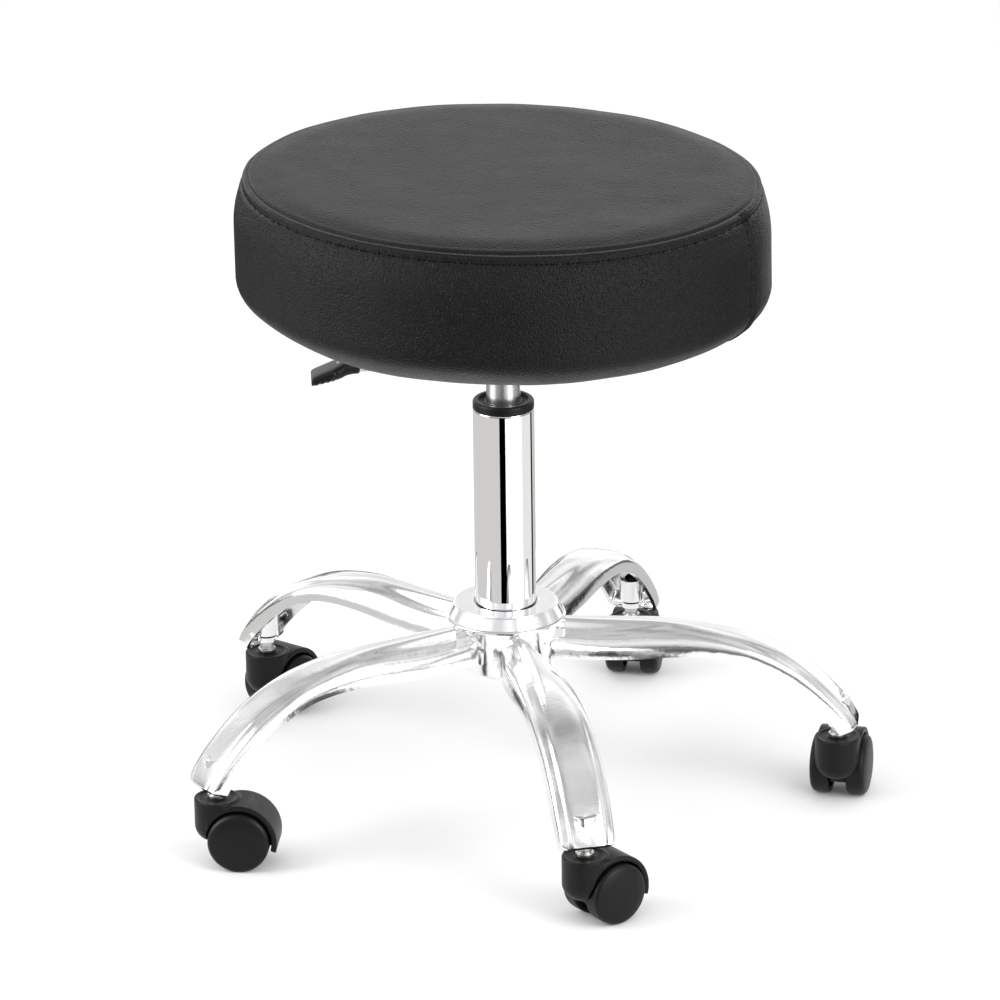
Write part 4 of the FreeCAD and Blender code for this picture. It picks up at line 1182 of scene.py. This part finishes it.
# ---------------------------------------------------------------- castors
@dataclass
class Castors:
    """The five twin-wheel castors: moulded housings, wheels, and stems with a bright collar."""

    voxel: float = 0.75
    smoothing: int = 5
    wheel_width: float = 17.6
    wheel_radius: float = 25.0
    inner_face: float = 7.4
    steps: int = 96
    stem_radius: float = 5.5
    stem_steps: int = 56
    collar_radius: float = 7.4
    pattern: int = 3

    def place(self, index: int) -> Matrix:
        """Where castor number index stands: stem axis on Z, wheels trailing along +X."""
        stem = Vector(joint(f"castor_{index}_swivel")["pos_m"]) / MM
        axis = Vector(joint(f"castor_{index}_spin_left")["axis"])
        yaw = math.atan2(-axis.x, axis.y)
        return Matrix.Translation((stem.x, stem.y, 0)) @ Matrix.Rotation(yaw, 4, "Z")

    def axle(self, index: int) -> Vector:
        """The middle of the axle of castor number index."""
        return Vector(joint(f"castor_{index}_spin_left")["pos_m"]) / MM

    def moulded_housing(self) -> bmesh.types.BMesh:
        """The housing in its own frame, remeshed finely so that its edges are moulded soft."""
        bm = bmesh.new()
        bm.from_mesh(frame["nodes"][f"castor_{self.pattern}_housing"].data)
        bmesh.ops.remove_doubles(bm, verts=bm.verts, dist=1e-6)
        bmesh.ops.scale(bm, vec=(1 / MM, 1 / MM, 1 / MM), verts=bm.verts)
        bmesh.ops.transform(bm, matrix=self.place(self.pattern).inverted(), verts=bm.verts)
        mesh = bpy.data.meshes.new("housing_blank")
        bm.to_mesh(mesh)
        bm.free()
        blank = bpy.data.objects.new("housing_blank", mesh)
        bpy.context.scene.collection.objects.link(blank)
        remesh = blank.modifiers.new("moulding", "REMESH")
        remesh.mode = "VOXEL"
        remesh.voxel_size = self.voxel
        done = mesh_with_modifiers(blank)
        bpy.data.objects.remove(blank)
        bm = bmesh.new()
        bm.from_mesh(done)
        for _ in range(self.smoothing):
            bmesh.ops.smooth_vert(bm, verts=bm.verts, factor=0.5, use_axis_x=True, use_axis_y=True, use_axis_z=True)
        bmesh.ops.recalc_face_normals(bm, faces=bm.faces)
        return bm

    def wheel(self) -> bmesh.types.BMesh:
        """One wheel with its axle on Z, its inner face at 0 and its domed face up."""
        r, w = self.wheel_radius, self.wheel_width
        outline = rounded(
            (
                (0.0, w, 0.0), (8.0, w - 0.22, 30.0), (16.0, w - 0.95, 30.0), (r - 3.2, w - 2.2, 0.0),
                (r - 2.0, w - 2.75, 1.2), (r - 0.2, w - 4.6, 1.6), (r, w - 7.0, 1.5),
                (r, 1.0, 0.6), (r - 1.0, 0.0, 0.5),
                (r - 3.5, 0.0, 0.4), (r - 3.5, 9.0, 1.0), (6.2, 9.0, 1.0), (6.2, 0.0, 0.4), (3.1, 0.0, 0.3),
                (3.1, 10.0, 0.3), (0.0, 10.0, 0.0),
            ),
            4,
        )
        return lathe(outline, self.steps)

    def stem(self) -> bmesh.types.BMesh:
        """One stem on Z: pin, bright collar and grip groove."""
        low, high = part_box("castor_0_stem")
        r, collar, z0, z1 = self.stem_radius, self.collar_radius, low.z / MM, high.z / MM
        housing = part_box("castor_0_housing")[1].z / MM
        outline = rounded(
            (
                (0.0, z0, 0.0), (r - 1.0, z0, 0.3), (r, z0 + 1.0, 0.3), (r, housing + 0.25, 0.3),
                (collar, housing + 0.25, 0.6), (collar, housing + 3.25, 0.6), (r, housing + 3.25, 0.5),
                (r, z1 - 2.0, 0.4), (r - 2.0, z1, 0.4), (0.0, z1, 0.0),
            ),
            4,
        )
        return lathe(outline, self.stem_steps)

    def build(self) -> None:
        """Places the housings, wheels and stems."""
        housing, wheel, stem = self.moulded_housing(), self.wheel(), self.stem()
        for index in range(5):
            place = self.place(index)
            axle = self.axle(index)
            yaw = place.to_euler().z
            bm = bmesh.new()
            append_mesh(bm, housing, place)
            obj = object_from(f"castor_{index}_shell", bm, 60.0)
            settle(obj, NYLON, f"castor_{index}", (f"castor_{index}_housing",), "castor_nylon")
            for side, name in ((1, "left"), (-1, "right")):
                bm = bmesh.new()
                turn = Matrix.Rotation(yaw, 4, "Z") @ Matrix.Rotation(-side * math.pi / 2, 4, "X")
                out = Matrix.Rotation(yaw, 4, "Z") @ Matrix.Translation((0, side * self.inner_face, 0))
                append_mesh(bm, wheel, Matrix.Translation(axle) @ out @ Matrix.Rotation(-yaw, 4, "Z") @ turn)
                obj = object_from(f"castor_{index}_tread_{name}", bm, 40.0)
                node = f"castor_{index}_wheel_{name}"
                settle(obj, NYLON, node, (node,), "castor_nylon")
            bm = bmesh.new()
            append_mesh(bm, stem, Matrix.Translation(place.translation))
            obj = object_from(f"castor_{index}_pin", bm, 40.0)
            settle(obj, ZINC, "base", (f"castor_{index}_stem",), "zinc_steel")
            dress(f"castor_{index}_axle", ZINC)
        for bm in (housing, wheel, stem):
            bm.free()


# ---------------------------------------------------------------- lever
@dataclass
class Lever:
    """The release lever: a bent rod with a flattened inner end, and a ribbed paddle."""

    rod_radius: float = 4.5
    crank_reach: float = 58.0
    crank_deg: float = 28.0
    level_reach: float = 97.0
    end_deg: float = 1.0
    bend_radius: float = 14.0
    rod_end: float = 134.0
    tip_reach: float = 11.0
    tip_width: float = 13.0
    tip_thickness: float = 6.0
    start: float = 115.5
    blade: float = 39.5
    width: float = 31.0
    thickness: float = 10.0
    tilt_deg: float = 17.0
    tilt_share: float = 0.30
    rib_pitch: float = 4.2
    rib_depth: float = 0.8
    rod_cells: int = 32
    paddle_cells: tuple[int, int] = (72, 130)

    def __post_init__(self) -> None:
        """Reads the lever's direction and height from its joint."""
        pivot = joint("lever_lift")["pos_m"]
        self.z = pivot[2] / MM
        self.yaw = math.atan2(pivot[1], pivot[0])

    def path(self) -> list[Point]:
        """The rod's centre line as (reach, height), level at first, cranked down and then nearly level again."""
        level_z = self.z - (self.level_reach - self.crank_reach) * math.tan(math.radians(self.crank_deg))
        end_z = level_z - (self.rod_end - self.level_reach) * math.tan(math.radians(self.end_deg))
        corners = (
            (6.0, self.z, 0.0), (self.crank_reach, self.z, self.bend_radius),
            (self.level_reach, level_z, self.bend_radius), (self.rod_end, end_z, 0.0),
        )
        return rounded(corners, 10)

    def make_rod(self) -> bpy.types.Object:
        """The rod and its flattened end."""
        bm = bmesh.new()
        line = self.path()
        last = len(line) - 1

        def place(u: float, v: float) -> Vector:
            """A point on the rod's surface."""
            index = round(v * last)
            before, after = line[max(0, index - 1)], line[min(last, index + 1)]
            slope = math.atan2(before[1] - after[1], after[0] - before[0])
            turn = math.tau * u
            up = Vector((math.sin(slope), 0, math.cos(slope)))
            centre = Vector((line[index][0], 0, line[index][1]))
            return centre + up * self.rod_radius * math.sin(turn) + Vector((0, self.rod_radius * math.cos(turn), 0))

        skin(bm, self.rod_cells, last, place)
        made = bmesh.ops.create_cube(bm, size=1.0)["verts"]
        size = Vector((self.tip_reach + self.tip_width, self.tip_width, self.tip_thickness))
        bmesh.ops.scale(bm, vec=size, verts=made)
        bmesh.ops.translate(bm, vec=(size.x / 2 - self.tip_reach, 0, self.z), verts=made)
        edges = list(dict.fromkeys(edge for vert in made for edge in vert.link_edges))
        bmesh.ops.bevel(
            bm, geom=edges, offset=1.0, offset_type="OFFSET", affect="EDGES", segments=3, profile=0.5, material=-1
        )
        bmesh.ops.recalc_face_normals(bm, faces=bm.faces)
        bmesh.ops.rotate(bm, cent=(0, 0, 0), matrix=Matrix.Rotation(self.yaw, 3, "Z"), verts=bm.verts)
        return object_from("lever_bent_rod", bm)

    def make_paddle(self) -> bpy.types.Object:
        """The paddle: a sleeve that opens into a drooping blade with grip ribs."""
        bm = bmesh.new()
        sleeve = self.rod_radius + 1.4
        stations = (
            (0.0, sleeve - 1.2, sleeve - 1.2, 2.0), (0.03, sleeve, sleeve, 2.0), (0.16, sleeve * 1.15, sleeve, 2.2),
            (0.36, self.width * 0.42, sleeve * 1.0, 3.2), (0.55, self.width * 0.5, self.thickness * 0.54, 4.0),
            (0.9, self.width * 0.46, self.thickness * 0.42, 4.4), (0.97, self.width * 0.45, self.thickness * 0.38, 4.4),
            (1.0, self.width * 0.42, self.thickness * 0.26, 4.0),
        )
        end_z = self.path()[-1][1]
        slope = math.radians(self.end_deg)
        centre = Vector((self.start, 0, end_z + (self.rod_end - self.start) * math.tan(slope)))

        def place(u: float, v: float) -> Vector:
            """A point on the paddle's surface."""
            half, thick, square = (along(stations, v, column) for column in (1, 2, 3))
            turn = math.tau * u
            c, s = math.cos(turn), math.sin(turn)
            y = half * math.copysign(abs(c) ** (2 / square), c)
            z = thick * math.copysign(abs(s) ** (2 / square), s)
            x = self.blade * v
            blade = smoothstep(0.42, 0.55, v) * (1.0 - smoothstep(0.93, 0.98, v))
            slant = x + 0.8 * abs(y) - 0.9 * z
            rib = self.rib_depth * blade * (0.5 + 0.5 * math.cos(math.tau * slant / self.rib_pitch))
            side = smoothstep(0.55, -0.1, s) if s > -0.1 else 1.0
            shrink = rib * (1.0 - smoothstep(0.1, 0.6, s)) * side
            z += shrink * (1 if s < 0 else 0)
            y -= math.copysign(shrink, y) * abs(c)
            droop = self.blade * max(0.0, v - self.tilt_share) * math.tan(math.radians(self.tilt_deg))
            return Vector((x, y, z - droop))

        skin(bm, *self.paddle_cells, place)
        bmesh.ops.recalc_face_normals(bm, faces=bm.faces)
        turn = Matrix.Rotation(self.yaw, 4, "Z") @ Matrix.Translation(centre) @ Matrix.Rotation(slope, 4, "Y")
        bmesh.ops.transform(bm, matrix=turn, verts=bm.verts)
        return object_from("lever_grip_paddle", bm, 60.0)

    def build(self) -> None:
        """Makes the rod and the paddle."""
        settle(self.make_rod(), ZINC, "lever", ("lever_rod",), "lever_steel")
        settle(self.make_paddle(), PLASTIC, "lever", ("lever_paddle",), "black_plastic")


# ---------------------------------------------------------------- what the rest shows
class HiddenParts:
    """Finishes for the parts seen from below and for the workings inside."""

    EASED = {
        "seat_plate": ("seat_mounting_plate", 0.5, POWDER_COAT, "black_steel"),
        "mechanism_box": ("release_mechanism_box", 0.6, POWDER_COAT, "black_steel"),
        "cone_socket": ("seat_cone_socket", 0.4, POWDER_COAT, "black_steel"),
    }
    KEPT = {
        "seat_board": PLYWOOD, "dust_cover": DUST_CLOTH, "cover_staples": ZINC, "plate_bolts": ZINC, "t_nuts": ZINC,
        "lever_pin": ZINC, "bearing_lower_race": BEARING_STEEL, "bearing_balls": BEARING_STEEL,
        "bearing_upper_race": BEARING_STEEL, "piston_rod": CHROME, "rubber_buffer": RUBBER, "rod_clip": ZINC,
        "piston": BEARING_STEEL, "piston_seal": RUBBER, "cylinder_gland": BEARING_STEEL, "release_button": PLASTIC,
        "grip_rings": ZINC,
    }

    def build(self) -> None:
        """Eases the pressed parts and dresses the CAD nodes that stay."""
        for node, (name, edge, finish, slot) in self.EASED.items():
            settle(softened_copy(node, name, edge), finish, "seat", (node,), slot)
        for node, finish in self.KEPT.items():
            dress(node, finish)


# ---------------------------------------------------------------- studio and camera
class Card(Enum):
    """Painted reflections: cards that only glossy rays see, by how strongly they glow; they light nothing and cast no
    shadow.
    """

    BLACK = 0.0
    DARK = 0.10
    MIDDLE = 0.60
    WARM_GREY = 0.66
    LIGHT = 0.86
    # Glows brightly to paint highlights; it is no lamp.
    WINDOW = 9.0


@dataclass
class Studio:
    """A pale floor, a white tent whose patchy painted reflection only glossy rays see, and painted reflection cards
    placed for the bright metal.
    """

    UNREFLECTED = ("cushion_", "seat_", "release_", "lever_", "dust_cover", "cover_staples", "plate_bolts", "t_nuts")
    azimuth_deg: float = 5.4
    floor_radius: float = 9.0
    even_light: float = 0.98
    painted_reflection_gain: float = 3.0
    painted_reflection_even: float = 0.42
    cloudiness: float = 2.0
    strip_height: float = 0.45
    softbox_size: Point = (1.4, 1.8)
    softbox_reach: float = 2.2
    aim_height: float = 0.35
    painted_reflection_tint: Colour = (1.0, 0.985, 0.955)

    def make_floor(self) -> None:
        """The plain pale floor."""
        bm = bmesh.new()
        bmesh.ops.create_circle(bm, cap_ends=True, segments=96, radius=self.floor_radius / MM)
        floor = object_from("studio_floor", bm)
        made = bpy.data.materials.new("floor_pale")
        made.use_nodes = True
        tree = Tree(made.node_tree)
        shader = made.node_tree.nodes["Principled BSDF"]
        shader.inputs["Roughness"].default_value = 0.9
        shader.inputs["Specular IOR Level"].default_value = 0.1
        where = tree.node("ShaderNodeTexCoord").outputs["Object"]
        drift = Finish.place(tree, "tone", where, Size=0.8, Colour=(0.96, 0.96, 0.96, 1.0), Amount=0.01)
        tree.join(drift.outputs["Colour"], shader.inputs["Base Color"])
        floor.data.materials.append(made)

    def make_world(self) -> None:
        """White all round for soft light; glossy rays alone see brighter and darker parts of the tent, a painted
        reflection, and all other rays see it plain white.
        """
        world = bpy.data.worlds.new("tent")
        bpy.context.scene.world = world
        world.use_nodes = True
        world.node_tree.nodes.clear()
        tree = Tree(world.node_tree)
        out = tree.node("ShaderNodeOutputWorld")
        turn = tree.node("ShaderNodeVectorRotate", rotation_type="Z_AXIS")
        turn.inputs["Angle"].default_value = -math.radians(self.azimuth_deg)
        tree.join(tree.node("ShaderNodeTexCoord").outputs["Generated"], turn.inputs["Vector"])
        split = tree.node("ShaderNodeSeparateXYZ")
        tree.join(turn.outputs[0], split.inputs[0])
        angle = tree.math("ARCTAN2", split.outputs[0], tree.math("MULTIPLY", split.outputs[1], -1.0))
        painted_round_reflection = self.ramp(
            tree, tree.math("ADD", tree.math("DIVIDE", angle, math.tau), 0.5),
            (
                (0.0, 0.42), (0.12, 0.40), (0.20, 0.12), (0.24, 0.75), (0.33, 0.75), (0.37, 0.07), (0.46, 0.03),
                (0.512, 0.03), (0.57, 0.08), (0.60, 0.8), (0.66, 0.8), (0.70, 0.08), (0.84, 0.12), (0.86, 0.40),
                (1.0, 0.42),
            ),
        )
        painted_up_reflection = self.ramp(
            tree, split.outputs[2],
            ((0.0, 1.0), (0.30, 1.0), (0.48, 0.72), (0.70, 0.70), (0.82, 0.48), (1.0, 0.5)),
        )
        higher = tree.math("DIVIDE", split.outputs[2], self.strip_height, clamp=True)
        missing = tree.math("MULTIPLY", tree.math("SUBTRACT", self.painted_reflection_even, painted_round_reflection), higher)
        clouds = tree.node("ShaderNodeTexNoise", Scale=2.8, Detail=1.0)
        tree.join(turn.outputs[0], clouds.inputs["Vector"])
        uneven = tree.math("MULTIPLY", tree.math("SUBTRACT", clouds.outputs[0], 0.5), self.cloudiness)
        patchy = tree.math("MAXIMUM", tree.math("ADD", 1.0, uneven), 0.25)
        evened = tree.math("MULTIPLY", tree.math("ADD", painted_round_reflection, missing), patchy)
        tent = tree.math("MULTIPLY", tree.math("MULTIPLY", evened, painted_up_reflection), self.painted_reflection_gain)
        # Painted reflection: glossy rays see the patchy tent, every other ray sees the plain white.
        ray = tree.node("ShaderNodeLightPath")
        painted_reflection_background = tree.node("ShaderNodeBackground")
        plain = tree.node("ShaderNodeBackground", Strength=self.even_light)
        tree.join(tent, painted_reflection_background.inputs["Strength"])
        mix = tree.node("ShaderNodeMixShader")
        tree.join(ray.outputs["Is Glossy Ray"], mix.inputs[0])
        tree.join(plain.outputs[0], mix.inputs[1])
        tree.join(painted_reflection_background.outputs[0], mix.inputs[2])
        tree.join(mix.outputs[0], out.inputs["Surface"])
        for background in (painted_reflection_background, plain):
            background.inputs["Color"].default_value = (1.0, 1.0, 1.0, 1.0)

    @staticmethod
    def ramp(tree: Tree, source: bpy.types.NodeSocket, stops: Sequence[Point]) -> bpy.types.NodeSocket:
        """A brightness that follows stops of (position, value)."""
        made = tree.node("ShaderNodeValToRGB")
        elements = made.color_ramp.elements
        while len(elements) < len(stops):
            elements.new(0.5)
        for element, (position, value) in zip(elements, stops):
            element.position = position
            element.color = (value, value, value, 1.0)
        tree.join(source, made.inputs[0])
        return made.outputs[0]

    def make_card(self, name: str, card: Card, towards: Point, reach: Point, rise: Point = (0.0008, 0.0008)) -> None:
        """Puts up a card, a painted reflection that only glossy rays see, as a wedge seen from the column: flat on the
        floor, or upright.

        Args:
            name: the card's name.
            card: which card it is.
            towards: the wedge's two edges, in degrees to the right of the camera.
            reach: how far its near and far edges are, in metres; the same for an upright card.
            rise: height of those two edges, in metres.
        """
        bm = bmesh.new()
        steps = max(2, round(abs(towards[1] - towards[0]) / 4.0))
        made = bmesh.ops.create_grid(bm, x_segments=1, y_segments=steps, size=0.5)["verts"]
        for vert in made:
            angle = towards[0] + (towards[1] - towards[0]) * (vert.co.y + 0.5)
            turn = math.radians(-90.0 + self.azimuth_deg + angle)
            share = vert.co.x + 0.5
            r = (reach[0] + (reach[1] - reach[0]) * share) / MM
            z = (rise[0] + (rise[1] - rise[0]) * share) / MM
            vert.co = Vector((r * math.cos(turn), r * math.sin(turn), z))
        sheet = object_from(name, bm)
        made = bpy.data.materials.new(name)
        made.use_nodes = True
        made.node_tree.nodes.clear()
        tree = Tree(made.node_tree)
        out = tree.node("ShaderNodeOutputMaterial")
        glow = tree.node("ShaderNodeEmission", Strength=card.value)
        glow.inputs["Color"].default_value = (*self.painted_reflection_tint, 1.0)
        tree.join(glow.outputs[0], out.inputs["Surface"])
        sheet.data.materials.append(made)
        # Only glossy rays see the card, so what it shows is a painted reflection.
        for setting in ("visible_camera", "visible_diffuse", "visible_transmission", "visible_shadow"):
            setattr(sheet, setting, False)

    def make_softbox(self, name: str, angle_deg: float, height: float, power: float) -> None:
        """One large soft light, aimed at the seat."""
        data = bpy.data.lights.new(name, "AREA")
        data.energy = power
        data.shape = "RECTANGLE"
        data.size, data.size_y = self.softbox_size
        lamp = bpy.data.objects.new(name, data)
        bpy.context.scene.collection.objects.link(lamp)
        turn = math.radians(-90.0 + self.azimuth_deg + angle_deg)
        spot = Vector((self.softbox_reach * math.cos(turn), self.softbox_reach * math.sin(turn), height))
        aim = Vector((0.0, 0.0, self.aim_height)) - spot
        lamp.matrix_world = Matrix.Translation(spot) @ aim.to_track_quat("-Z", "Y").to_matrix().to_4x4()

    def clear_reflections(self) -> None:
        """Keeps the dark seat and lever out of the bright metal, which then shows the tent alone."""
        for obj in bpy.context.scene.objects:
            if obj.type == "MESH" and obj.name.startswith(self.UNREFLECTED):
                obj.visible_glossy = False

    def build(self) -> None:
        """Sets the whole studio up."""
        self.clear_reflections()
        self.make_floor()
        self.make_world()
        near, far = (0.42, 1.05), (1.05, 5.0)
        # Painted reflections: black, grey and warm cards that only glossy rays see, for the chrome column and the
        # seat's side.
        self.make_card("card_black_front", Card.BLACK, (-16.5, 5.5), near)
        self.make_card("card_light_side", Card.LIGHT, (70.0, 116.8), near)
        self.make_card("card_black_side", Card.BLACK, (117.0, 128.8), near)
        self.make_card("card_middle_back", Card.MIDDLE, (129.0, 178.0), near)
        self.make_card("card_warm_side", Card.WARM_GREY, (-178.0, -16.6), near)
        self.make_card("card_dark_front", Card.DARK, (-54.0, 31.0), far)
        self.make_card("card_dark_right", Card.DARK, (63.0, 150.0), far)
        self.make_card("card_dark_left", Card.DARK, (-178.0, -98.0), far)
        # Painted highlights on the seat's side: two glowing cards that only glossy rays see; they light nothing.
        self.make_card("card_window_left", Card.WINDOW, (-92.0, -62.0), (1.7, 1.7), (0.3, 1.15))
        self.make_card("card_window_right", Card.WINDOW, (37.0, 58.0), (1.7, 1.7), (0.3, 1.15))
        self.make_softbox("softbox_left", -76.0, 1.5, 26.0)
        self.make_softbox("softbox_right", 47.0, 1.4, 26.0)
        scene = bpy.context.scene
        scene.view_settings.view_transform = "Standard"


@dataclass
class ViewCamera:
    """The camera, level with a person looking down at the stool."""

    position: tuple[float, float, float] = (0.4368, -4.6234, 1.9589)
    azimuth_deg: float = 5.397
    pitch_deg: float = 20.1288
    yaw_deg: float = -0.0462
    roll_deg: float = -0.7352
    lens: float = 218.963
    sensor: float = 36.0
    clip_end: float = 60.0

    def build(self) -> None:
        """Places the camera and makes it the scene's own."""
        yaw, pitch, roll = (math.radians(a) for a in (self.yaw_deg, self.pitch_deg, self.roll_deg))
        ahead = Vector((math.sin(yaw) * math.cos(pitch), math.cos(yaw) * math.cos(pitch), -math.sin(pitch)))
        right = ahead.cross(Vector((0, 0, 1))).normalized()
        up = right.cross(ahead)
        across = right * math.cos(roll) + up * math.sin(roll)
        above = up * math.cos(roll) - right * math.sin(roll)
        turn = Matrix.Rotation(math.radians(self.azimuth_deg), 3, "Z")
        axes = [turn @ axis for axis in (across, above, -ahead)]
        data = bpy.data.cameras.new("view_camera")
        data.lens = self.lens
        data.sensor_width = self.sensor
        data.clip_end = self.clip_end
        camera = bpy.data.objects.new("view_camera", data)
        bpy.context.scene.collection.objects.link(camera)
        place = Matrix(axes).transposed().to_4x4()
        place.translation = Vector(self.position)
        camera.matrix_world = place
        bpy.context.scene.camera = camera


def main() -> None:
    """Builds the stool, the studio and the camera."""
    logging.basicConfig(level=logging.INFO, format="%(name)s: %(message)s")
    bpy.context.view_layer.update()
    for part in (Cushion(), Column(), StarBase(), Castors(), Lever(), HiddenParts(), Studio(), ViewCamera()):
        part.build()
    bpy.context.view_layer.update()


if __name__ == "__main__":
    main()
